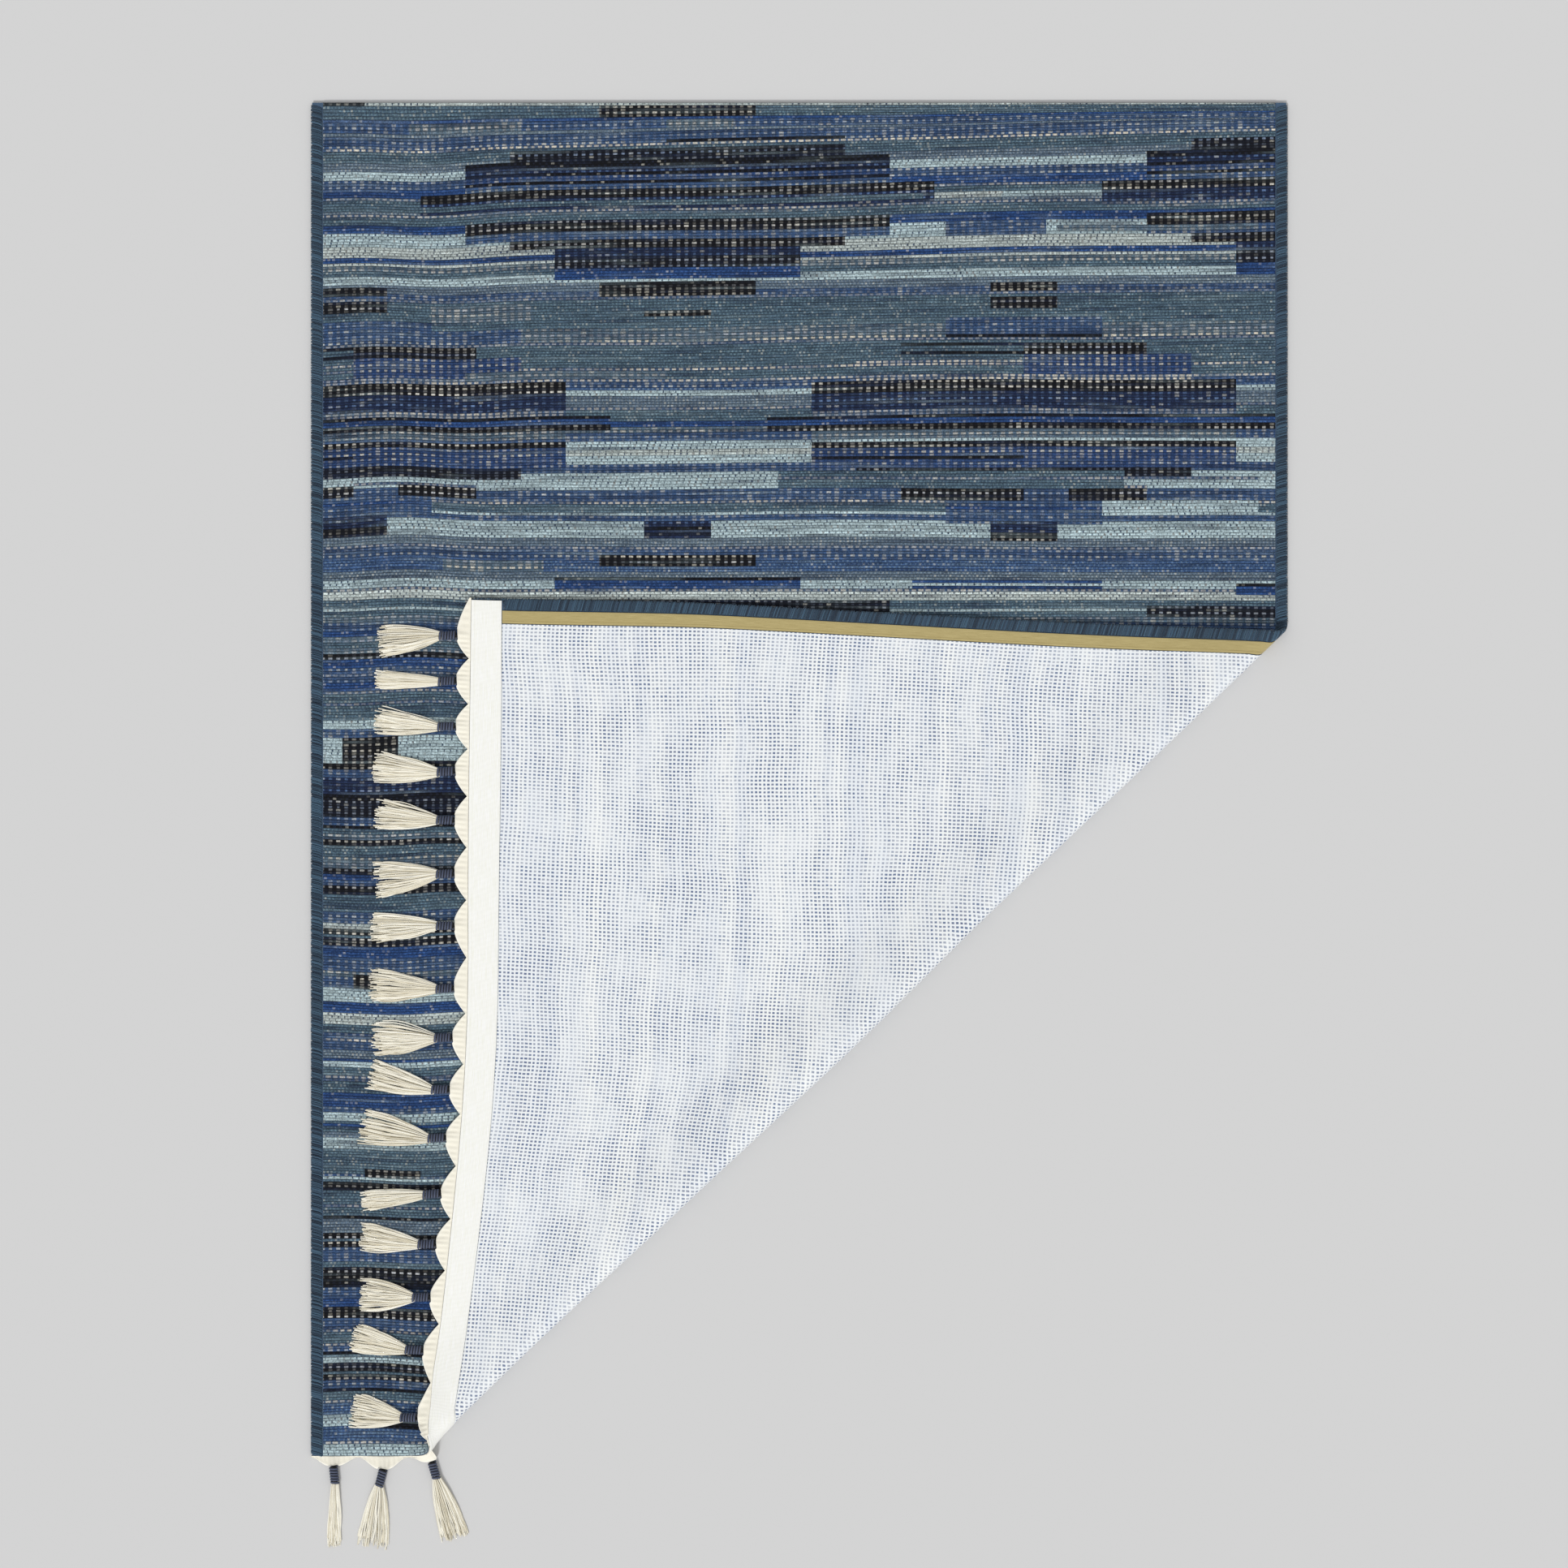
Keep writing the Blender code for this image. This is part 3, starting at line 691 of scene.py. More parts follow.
@dataclass(frozen=True)
class FaceFinish:
    """Solution-dyed polypropylene weft on a cotton warp, jacquard woven.

    It gives the eye rounded picks whose grooves are darkened by painted shade as well as by the bump,
    short floats that catch the light and a slightly heathered tone. Pick and float sizes come with the
    weave coordinates.
    """

    name: str = "jacquard_woven_polypropylene"
    roughness: float = 0.88
    relief: float = 0.5 * MM
    # How far the floats run before they weaken, and a stray yarn before it ends
    float_run: float = 50 * MM
    stray_run: float = 1000 / 9 * MM
    streak_run: float = 12.5 * MM
    # The yarn's own fibres are far finer and wouldn't show
    fibre_grain: float = 10 / 7 * MM
    # Puts neighbouring picks far apart in the noise, so that they don't look alike
    apart: float = 7.31

    def material(self) -> bpy.types.Material:
        """Makes the finish.

        Returns:
            The material.
        """
        made, shader = new_finish(self.name, self.roughness, 0.02)
        shader.inputs["Specular IOR Level"].default_value = 0.22
        tree = made.node_tree
        weave = add_node(tree, "ShaderNodeUVMap", uv_map="weave")
        phase = add_node(tree, "ShaderNodeSeparateXYZ", {0: weave})
        pick = phase.node.outputs[1]
        cloth = add_node(tree, "ShaderNodeUVMap", uv_map="cloth")
        ground = add_node(tree, "ShaderNodeAttribute", attribute_name="ground_yarn")
        floats = add_node(tree, "ShaderNodeAttribute", attribute_name="float_yarn")
        share = floats.node.outputs["Alpha"]

        # Each pick is a round rib: its height over one pick, from groove to crest
        within = add_node(tree, "ShaderNodeMath", {0: pick}, operation="FRACT")
        rib = add_node(tree, "ShaderNodeMath", {0: within, 1: math.pi}, operation="MULTIPLY")
        rib = add_node(tree, "ShaderNodeMath", {0: rib}, operation="SINE")

        # One random number a float, from its whole places along and across
        whole = add_node(tree, "ShaderNodeVectorMath", {0: weave}, operation="FLOOR")
        chance = add_node(tree, "ShaderNodeTexWhiteNoise", {"Vector": whole}, noise_dimensions="3D")

        # A float covers its share of the repeat, a little more or less each time
        along = add_node(tree, "ShaderNodeMath", {0: phase}, operation="FRACT")
        from_middle = add_node(tree, "ShaderNodeMath", {0: along, 1: 0.5}, operation="SUBTRACT")
        from_middle = add_node(tree, "ShaderNodeMath", {0: from_middle}, operation="ABSOLUTE")
        half = add_node(tree, "ShaderNodeMath", {0: share, 1: 0.5}, operation="MULTIPLY")
        spread = add_node(tree, "ShaderNodeMath", {0: chance, 1: 0.14, 2: -0.07}, operation="MULTIPLY_ADD")
        half = add_node(tree, "ShaderNodeMath", {0: half, 1: spread}, operation="ADD")
        inner = add_node(tree, "ShaderNodeMath", {0: half, 1: 0.07}, operation="SUBTRACT")
        outer = add_node(tree, "ShaderNodeMath", {0: half, 1: 0.07}, operation="ADD")
        float_mask = add_node(
            tree, "ShaderNodeMapRange", {0: from_middle, 1: inner, 2: outer, 3: 1.0, 4: 0.0},
            interpolation_type="SMOOTHSTEP",
        )
        crest = add_node(tree, "ShaderNodeMapRange", {0: rib, 1: 0.2, 2: 0.65, 3: 0.0, 4: 1.0})
        float_mask = add_node(tree, "ShaderNodeMath", {0: float_mask, 1: crest}, operation="MULTIPLY")

        # Floats come and go along each pick
        cloth_u = add_node(tree, "ShaderNodeSeparateXYZ", {0: cloth})
        row = add_node(tree, "ShaderNodeMath", {0: pick}, operation="FLOOR")
        row = add_node(tree, "ShaderNodeMath", {0: row, 1: self.apart}, operation="MULTIPLY")
        short_u = add_node(
            tree, "ShaderNodeMath", {0: cloth_u, 1: 1 / self.float_run}, operation="MULTIPLY"
        )
        short_at = add_node(tree, "ShaderNodeCombineXYZ", {0: short_u, 1: row, 2: 3.0})
        coming = add_node(tree, "ShaderNodeTexNoise", {"Vector": short_at, "Scale": 1.0, "Detail": 2.0})
        presence = add_node(tree, "ShaderNodeMapRange", {0: coming, 1: 0.36, 2: 0.52, 3: 0.22, 4: 1.0})
        float_mask = add_node(tree, "ShaderNodeMath", {0: float_mask, 1: presence}, operation="MULTIPLY")
        speck = add_node(tree, "ShaderNodeMapRange", {0: chance, 1: 0.82, 2: 0.9, 3: 0.0, 4: 0.4})
        float_colour = add_node(
            tree, "ShaderNodeMix", {0: speck, 6: floats.node.outputs["Color"], 7: linear("#a8a598")},
            data_type="RGBA",
        ).node.outputs[2]
        colour = add_node(
            tree, "ShaderNodeMix",
            {0: float_mask, 6: ground.node.outputs["Color"], 7: float_colour}, data_type="RGBA",
        ).node.outputs[2]

        # Stray yarn: a pick here and there turns navy or pale for a hand's width
        stray_u = add_node(
            tree, "ShaderNodeMath", {0: cloth_u, 1: 1 / self.stray_run}, operation="MULTIPLY"
        )
        stray_at = add_node(tree, "ShaderNodeCombineXYZ", {0: stray_u, 1: row})
        stray = add_node(tree, "ShaderNodeTexNoise", {"Vector": stray_at, "Scale": 1.0, "Detail": 2.0})
        for start, full, most, yarn in ((0.54, 0.70, 0.62, "#1b2740"), (0.46, 0.30, 0.34, "#76868c")):
            amount = add_node(tree, "ShaderNodeMapRange", {0: stray, 1: start, 2: full, 3: 0.0, 4: most})
            colour = add_node(
                tree, "ShaderNodeMix", {0: amount, 6: colour, 7: linear(yarn)}, data_type="RGBA",
            ).node.outputs[2]

        # Heather along the yarn: streaks half a pick high, and a grain of fibre; with them, painted shade
        # in the grooves between picks
        scale = (1 / self.streak_run, 1 / self.fibre_grain, 1.0)
        streak_at = add_node(tree, "ShaderNodeVectorMath", {0: cloth, 1: scale}, operation="MULTIPLY")
        streak = add_node(tree, "ShaderNodeTexNoise", {"Vector": streak_at, "Scale": 1.0, "Detail": 2.0})
        fibre = add_node(
            tree, "ShaderNodeTexNoise", {"Vector": cloth, "Scale": 1 / self.fibre_grain, "Detail": 2.0}
        )
        streak_tone = add_node(tree, "ShaderNodeMapRange", {0: streak, 1: 0.3, 2: 0.7, 3: 0.68, 4: 1.32})
        fibre_tone = add_node(tree, "ShaderNodeMapRange", {0: fibre, 1: 0.3, 2: 0.7, 3: 0.55, 4: 1.42})
        each_tone = add_node(tree, "ShaderNodeMapRange", {0: chance, 3: 0.86, 4: 1.14})
        # Painted shade: the colour darkens from each pick's crest down into the groove between picks
        painted_groove_shade = add_node(tree, "ShaderNodeMapRange", {0: rib, 1: 0.0, 2: 0.6, 3: 0.34, 4: 1.1})
        tone = streak_tone
        for other in (fibre_tone, each_tone, painted_groove_shade):
            tone = add_node(tree, "ShaderNodeMath", {0: tone, 1: other}, operation="MULTIPLY")
        colour = add_node(
            tree, "ShaderNodeVectorMath", {0: colour, "Scale": tone}, operation="SCALE"
        )
        tree.links.new(colour, shader.inputs["Base Color"])

        height = add_node(tree, "ShaderNodeMath", {0: float_mask, 1: 0.5, 2: rib}, operation="MULTIPLY_ADD")
        height = add_node(tree, "ShaderNodeMath", {0: fibre, 1: 0.5, 2: height}, operation="MULTIPLY_ADD")
        bump = add_node(
            tree, "ShaderNodeBump", {"Height": height, "Distance": self.relief, "Strength": 0.7}
        )
        tree.links.new(bump, shader.inputs["Normal"])
        return made


@dataclass(frozen=True)
class GauzeFinish:
    """Open leno gauze of white filling yarn, bonded to the back.

    It gives the eye rows of small blue-grey windows between white threads that wander, with
    thicker slub threads here and there.
    """

    name: str = "white_leno_gauze_backing"
    # Coarser than the real 3.4 by 2.7 mm, by a fifth across and by 30 in the hundred along, so
    # that the windows show
    across: float = 4.1 * MM
    along: float = 3.5 * MM
    # Twice the most that the threads sway, across the rug and along it, and that they stray
    sway: tuple[float, float, float] = (8 * MM, 16 * MM, 0.0)
    stray: float = 0.9 * MM
    patch: float = 1000 / 22 * MM

    def material(self) -> bpy.types.Material:
        """Makes the finish.

        Returns:
            The material.
        """
        made, shader = new_finish(self.name, 0.85, 0.1)
        tree = made.node_tree
        cloth = add_node(tree, "ShaderNodeUVMap", uv_map="cloth")

        # The threads sway together over 110 to 330 mm, and stray from one another over some 8 mm
        place = cloth
        stray = (self.stray, self.stray, self.stray)
        for scale, most in (((9.0, 3.0, 1.0), self.sway), ((130.0, 130.0, 130.0), stray)):
            at = add_node(tree, "ShaderNodeVectorMath", {0: cloth, 1: scale}, operation="MULTIPLY")
            noise = add_node(tree, "ShaderNodeTexNoise", {"Vector": at, "Scale": 1.0, "Detail": 1.0})
            shift = add_node(
                tree, "ShaderNodeVectorMath", {0: noise.node.outputs["Color"], 1: (0.5, 0.5, 0.5)},
                operation="SUBTRACT",
            )
            shift = add_node(tree, "ShaderNodeVectorMath", {0: shift, 1: most}, operation="MULTIPLY")
            place = add_node(tree, "ShaderNodeVectorMath", {0: place, 1: shift}, operation="ADD")
        count = add_node(
            tree, "ShaderNodeVectorMath", {0: place, 1: (1 / self.along, 1 / self.across, 1.0)},
            operation="MULTIPLY",
        )
        whole = add_node(tree, "ShaderNodeVectorMath", {0: count}, operation="FLOOR")
        chance = add_node(tree, "ShaderNodeTexWhiteNoise", {"Vector": whole}, noise_dimensions="3D")
        within = add_node(tree, "ShaderNodeVectorMath", {0: count}, operation="FRACTION")
        within = add_node(
            tree, "ShaderNodeVectorMath", {0: within, 1: (0.5, 0.5, 0.0)}, operation="SUBTRACT"
        )
        within = add_node(tree, "ShaderNodeVectorMath", {0: within}, operation="ABSOLUTE")
        sides = add_node(tree, "ShaderNodeSeparateXYZ", {0: within})

        # Slub: each filling thread has its own thickness, changing slowly along it
        lines = add_node(
            tree, "ShaderNodeVectorMath", {0: count, 1: (0.012, 0.55, 0.0)}, operation="MULTIPLY"
        )
        slub = add_node(tree, "ShaderNodeTexNoise", {"Vector": lines, "Scale": 1.0, "Detail": 3.0})
        window = add_node(tree, "ShaderNodeMapRange", {0: slub, 1: 0.34, 2: 0.68, 3: 0.28, 4: 0.12})
        short = add_node(
            tree, "ShaderNodeMapRange", {0: sides, 1: 0.18, 2: 0.32, 3: 1.0, 4: 0.0},
            interpolation_type="SMOOTHSTEP",
        )
        edge = add_node(tree, "ShaderNodeMath", {0: window, 1: 0.16}, operation="ADD")
        wide = add_node(
            tree, "ShaderNodeMapRange", {0: sides.node.outputs[1], 1: window, 2: edge, 3: 1.0, 4: 0.0},
            interpolation_type="SMOOTHSTEP",
        )
        hole = add_node(tree, "ShaderNodeMath", {0: short, 1: wide}, operation="MULTIPLY")

        # The windows show the blue face yarns through, darker in some patches than in others
        patch = add_node(
            tree, "ShaderNodeTexNoise", {"Vector": cloth, "Scale": 1 / self.patch, "Detail": 3.0}
        )
        depth = add_node(tree, "ShaderNodeMapRange", {0: patch, 1: 0.34, 2: 0.68, 3: 0.55, 4: 1.2})
        deeper = add_node(tree, "ShaderNodeMapRange", {0: chance, 3: 0.55, 4: 1.15})
        depth = add_node(tree, "ShaderNodeMath", {0: depth, 1: deeper}, operation="MULTIPLY")
        hole = add_node(tree, "ShaderNodeMath", {0: hole, 1: depth}, operation="MULTIPLY", use_clamp=True)
        tint = add_node(tree, "ShaderNodeTexNoise", {"Vector": lines, "Scale": 0.35, "Detail": 1.0})
        thread = add_node(
            tree, "ShaderNodeMix", {0: tint, 6: linear("#dee5ef"), 7: linear("#fdfefa")}, data_type="RGBA",
        ).node.outputs[2]
        blue = add_node(
            tree, "ShaderNodeMix", {0: chance, 6: linear("#434f78"), 7: linear("#7585a2")},
            data_type="RGBA",
        ).node.outputs[2]
        colour = add_node(
            tree, "ShaderNodeMix", {0: hole, 6: thread, 7: blue}, data_type="RGBA",
        ).node.outputs[2]
        tree.links.new(colour, shader.inputs["Base Color"])
        height = add_node(tree, "ShaderNodeMath", {0: 1.0, 1: hole}, operation="SUBTRACT")
        bump = add_node(tree, "ShaderNodeBump", {"Height": height, "Distance": 0.4 * MM, "Strength": 0.5})
        tree.links.new(bump, shader.inputs["Normal"])
        return made


@dataclass(frozen=True)
class RimFinish:
    """Cut edge of the weave under the serging and at the hem: dull blue yarn ends."""

    name: str = "woven_hem_edge"

    def material(self) -> bpy.types.Material:
        """Makes the finish.

        Returns:
            The material.
        """
        made, shader = new_finish(self.name, 0.9, 0.1)
        tree = made.node_tree
        cloth = add_node(tree, "ShaderNodeUVMap", uv_map="cloth")
        ends = add_node(tree, "ShaderNodeTexNoise", {"Vector": cloth, "Scale": 900.0, "Detail": 2.0})
        colour = add_node(
            tree, "ShaderNodeMix", {0: ends, 6: linear("#20304a"), 7: linear("#54708a")}, data_type="RGBA",
        ).node.outputs[2]
        tree.links.new(colour, shader.inputs["Base Color"])
        return made


@dataclass(frozen=True)
class YarnFinish:
    """A spun yarn whose strands each have a tone of their own.

    It gives the eye a soft matt thread with a faint grain of fibre. A shade attribute on each strand
    picks its tone between the two colours; on the windings and at the heading's rim that tone carries
    painted light.
    """

    name: str
    dark: str
    light: str
    roughness: float = 0.9
    sheen: float = 0.15
    grain: float = 1400.0

    def material(self) -> bpy.types.Material:
        """Makes the finish.

        Returns:
            The material.
        """
        made, shader = new_finish(self.name, self.roughness, self.sheen)
        tree = made.node_tree
        shade = add_node(tree, "ShaderNodeAttribute", attribute_name="shade").node.outputs["Fac"]
        place = add_node(tree, "ShaderNodeTexCoord").node.outputs["Object"]
        fibre = add_node(tree, "ShaderNodeTexNoise", {"Vector": place, "Scale": self.grain, "Detail": 2.0})
        mixed = add_node(tree, "ShaderNodeMath", {0: fibre, 1: 0.5, 2: -0.25}, operation="MULTIPLY_ADD")
        mixed = add_node(tree, "ShaderNodeMath", {0: shade, 1: mixed}, operation="ADD", use_clamp=True)
        colour = add_node(
            tree, "ShaderNodeMix", {0: mixed, 6: linear(self.dark), 7: linear(self.light)},
            data_type="RGBA",
        ).node.outputs[2]
        tree.links.new(colour, shader.inputs["Base Color"])
        bump = add_node(tree, "ShaderNodeBump", {"Height": fibre, "Distance": 0.2 * MM, "Strength": 0.6})
        tree.links.new(bump, shader.inputs["Normal"])
        return made


@dataclass(frozen=True)
class TapeFinish:
    """A narrow woven tape: fine ribs across it and a row of sewing near one edge. Painted shade darkens the
    sewing's dent, and the ribs get painted light on their crests and painted shade between them.

    The cloth coordinates run across the tape in shares of its width and along it in metres.
    """

    name: str
    dark: str
    light: str
    rib: float = 0.9 * MM
    seam_at: float = 0.12
    seam_painted_shade: float = 0.25

    def material(self) -> bpy.types.Material:
        """Makes the finish.

        Returns:
            The material.
        """
        made, shader = new_finish(self.name, 0.8, 0.15)
        tree = made.node_tree
        place = add_node(tree, "ShaderNodeUVMap", uv_map="tape")
        across = add_node(tree, "ShaderNodeSeparateXYZ", {0: place})
        along = across.node.outputs[1]
        ribs = add_node(tree, "ShaderNodeMath", {0: along, 1: 2 * math.pi / self.rib}, operation="MULTIPLY")
        ribs = add_node(tree, "ShaderNodeMath", {0: ribs}, operation="SINE")
        mottle = add_node(
            tree, "ShaderNodeTexNoise", {"Vector": place, "Scale": 60.0, "Detail": 5.0, "Roughness": 0.7},
        )
        # The row of sewing is a dent in the bump, darkened with painted shade
        off_seam = add_node(tree, "ShaderNodeMath", {0: across, 1: self.seam_at}, operation="SUBTRACT")
        off_seam = add_node(tree, "ShaderNodeMath", {0: off_seam}, operation="ABSOLUTE")
        seam = add_node(tree, "ShaderNodeMapRange", {0: off_seam, 1: 0.0, 2: 0.035, 3: 1.0, 4: 0.0})
        mottle = add_node(tree, "ShaderNodeMapRange", {0: mottle, 1: 0.36, 2: 0.64, 3: 0.1, 4: 0.95})
        tone = add_node(
            tree, "ShaderNodeMath", {0: seam, 1: -self.seam_painted_shade, 2: mottle}, operation="MULTIPLY_ADD",
            use_clamp=True,
        )
        # Painted light and shade on the ribs: lighter on each crest, darker between
        tone = add_node(tree, "ShaderNodeMath", {0: ribs, 1: 0.05, 2: tone}, operation="MULTIPLY_ADD")
        colour = add_node(
            tree, "ShaderNodeMix", {0: tone, 6: linear(self.dark), 7: linear(self.light)},
            data_type="RGBA",
        ).node.outputs[2]
        tree.links.new(colour, shader.inputs["Base Color"])
        height = add_node(tree, "ShaderNodeMath", {0: seam, 1: -2.0, 2: ribs}, operation="MULTIPLY_ADD")
        bump = add_node(tree, "ShaderNodeBump", {"Height": height, "Distance": 0.12 * MM, "Strength": 0.5})
        tree.links.new(bump, shader.inputs["Normal"])
        return made


@dataclass(frozen=True)
class Tree:
    """A Geometry Nodes tree with named inputs, and the way to turn its result into a plain mesh."""

    group: bpy.types.NodeTree

    @classmethod
    def start(cls, name: str, inputs: Iterable[tuple[str, str, Any]]) -> "Tree":
        """Starts a tree.

        Args:
            name: the tree's name.
            inputs: rows of an input's name, socket type and default.

        Returns:
            The tree, which takes and gives a geometry.
        """
        group = bpy.data.node_groups.new(name, "GeometryNodeTree")
        group.interface.new_socket("Geometry", in_out="INPUT", socket_type="NodeSocketGeometry")
        group.interface.new_socket("Geometry", in_out="OUTPUT", socket_type="NodeSocketGeometry")
        for label, kind, default in inputs:
            socket = group.interface.new_socket(label, in_out="INPUT", socket_type=kind)
            if default is not None:
                socket.default_value = default
        return cls(group)

    def add(self, kind: str, inputs: dict[Any, Any] | None = None, **settings: Any) -> bpy.types.NodeSocket:
        """Adds a node to the tree."""
        return add_node(self.group, kind, inputs, **settings)

    def close(self, geometry: bpy.types.NodeSocket, finish: bpy.types.NodeSocket) -> None:
        """Ends the tree in real geometry with its finish set.

        Args:
            geometry: what the tree has made.
            finish: the socket that gives the material.
        """
        real = self.add("GeometryNodeRealizeInstances", {0: geometry})
        dressed = self.add("GeometryNodeSetMaterial", {"Geometry": real, "Material": finish})
        self.add("NodeGroupOutput", {0: dressed})

    def grow(self, base: bpy.types.Mesh, values: dict[str, Any]) -> bpy.types.Mesh:
        """Runs the tree on a mesh.

        Args:
            base: the mesh that the tree starts from.
            values: input names to their values.

        Returns:
            The result as a plain mesh.
        """
        holder = bpy.data.objects.new(f"{self.group.name}_holder", base)
        bpy.context.scene.collection.objects.link(holder)
        modifier = holder.modifiers.new("grow", "NODES")
        modifier.node_group = self.group
        sockets = {s.name: s.identifier for s in self.group.interface.items_tree if s.in_out == "INPUT"}
        for name, value in values.items():
            modifier[sockets[name]] = value
        graph = bpy.context.evaluated_depsgraph_get()
        grown = bpy.data.meshes.new_from_object(holder.evaluated_get(graph), depsgraph=graph)
        holder.modifiers.remove(modifier)
        bpy.data.objects.remove(holder)
        return grown


def stitch_tree() -> Tree:
    """Makes the tree that sets a yarn's path again and again along a side.

    Returns:
        The tree.
    """
    tree = Tree.start("serging_stitches", (
        ("Length", "NodeSocketFloat", RUG_LENGTH), ("Pitch", "NodeSocketFloat", 2 * MM),
        ("Yarn Radius", "NodeSocketFloat", 0.6 * MM), ("Sides", "NodeSocketInt", 5),
        ("Seed", "NodeSocketInt", 3), ("Finish", "NodeSocketMaterial", None),
    ))
    given = tree.add("NodeGroupInput").node.outputs
    path = tree.add("GeometryNodeMeshToCurve", {0: given["Geometry"]})
    count = tree.add("ShaderNodeMath", {0: given["Length"], 1: given["Pitch"]}, operation="DIVIDE")
    step = tree.add("ShaderNodeCombineXYZ", {1: given["Pitch"]})
    places = tree.add("GeometryNodeMeshLine", {"Count": count, "Offset": step})
    stitches = tree.add("GeometryNodeInstanceOnPoints", {"Points": places, "Instance": path})
    tone = tree.add(
        "FunctionNodeRandomValue", {3: 0.7, "Seed": given["Seed"]}, data_type="FLOAT"
    ).node.outputs[1]
    shaded = tree.add(
        "GeometryNodeStoreNamedAttribute", {"Geometry": stitches, "Name": "shade", "Value": tone},
        data_type="FLOAT", domain="INSTANCE",
    )
    sag = tree.add("FunctionNodeRandomValue", {0: (-0.3 * MM, -0.5 * MM, 0.0), 1: (0.0, 0.5 * MM, 0.0),
                                               "Seed": given["Seed"]}, data_type="FLOAT_VECTOR")
    moved = tree.add("GeometryNodeTranslateInstances", {"Instances": shaded, "Translation": sag})
    real = tree.add("GeometryNodeRealizeInstances", {0: moved})
    ring = tree.add("GeometryNodeCurvePrimitiveCircle",
                    {"Resolution": given["Sides"], "Radius": given["Yarn Radius"]})
    yarn = tree.add("GeometryNodeCurveToMesh", {"Curve": real, "Profile Curve": ring, "Fill Caps": True})
    smooth = tree.add("GeometryNodeSetShadeSmooth", {"Geometry": yarn})
    tree.close(smooth, given["Finish"])
    return tree


@dataclass
class Serging:
    """The overcast yarn round one side: slanting stitches laid side by side over both faces."""

    node: str
    on_right: bool
    yarn_radius: float = 0.78 * MM
    pitch: float = 1.55 * MM
    slant: float = 3.2 * MM

    def stitch_path(self) -> bpy.types.Mesh:
        """Makes one stitch: from the face, over the edge and back along the underside.

        Returns:
            Its path as a chain of edges.
        """
        radius = self.yarn_radius
        places = [
            # in from the edge, up from the back, share of the slant
            (SERGE_REACH - 0.5 * MM, THICK - radius - 0.5 * MM, 0.0),
            (SERGE_REACH - 1.6 * MM, THICK - radius + 0.05 * MM, 0.1),
            (7.5 * MM, THICK - radius + 0.3 * MM, 0.38),
            (4.2 * MM, THICK - radius + 0.45 * MM, 0.62),
            (1.9 * MM, THICK - radius + 0.1 * MM, 0.8),
            (radius + 0.15 * MM, THICK * 0.68, 0.94),
            (radius, THICK * 0.45, 1.0),
            (radius + 0.3 * MM, radius + 0.5 * MM, 0.94),
            (2.2 * MM, radius + 0.05 * MM, 0.8),
            (5.0 * MM, radius, 0.5),
            (8.0 * MM, radius, 0.25),
            (SERGE_REACH - 0.6 * MM, radius + 0.1 * MM, 0.0),
        ]
        mesh = bpy.data.meshes.new("stitch_path")
        points = [(u, self.slant * (share - 0.5), w) for u, w, share in places]
        mesh.from_pydata(points, [(i, i + 1) for i in range(len(points) - 1)], [])
        return mesh

    def build(self, tree: Tree, finish: bpy.types.Material) -> bpy.types.Object:
        """Sews the side flat and lays it.

        Args:
            tree: the stitch tree.
            finish: the yarn's material.

        Returns:
            The side's stitches.
        """
        mesh = tree.grow(self.stitch_path(), {
            "Length": RUG_LENGTH - self.slant, "Pitch": self.pitch, "Yarn Radius": self.yarn_radius,
            "Seed": 3 + self.on_right, "Finish": finish,
        })
        flat = places_of(mesh)
        flat[:, 1] += self.slant / 2
        if self.on_right:
            flat[:, 0] = RUG_WIDTH - flat[:, 0]
        # The white tape lies over the back legs of the first stitches, which stop short there
        under = (flat[:, 1] < WHITE_WIDTH + GAP + self.slant / 2) & (flat[:, 2] < THICK / 2)
        inward = RUG_WIDTH - flat[:, 0] if self.on_right else flat[:, 0]
        tucked = np.minimum(inward, 1.9 * MM)
        flat[:, 0] = np.where(under, RUG_WIDTH - tucked if self.on_right else tucked, flat[:, 0])
        mesh.vertices.foreach_set("co", LAY.laid(flat).ravel())
        piece = add_mesh(f"{self.node}_stitches", mesh)
        settle(piece, self.node)
        return piece


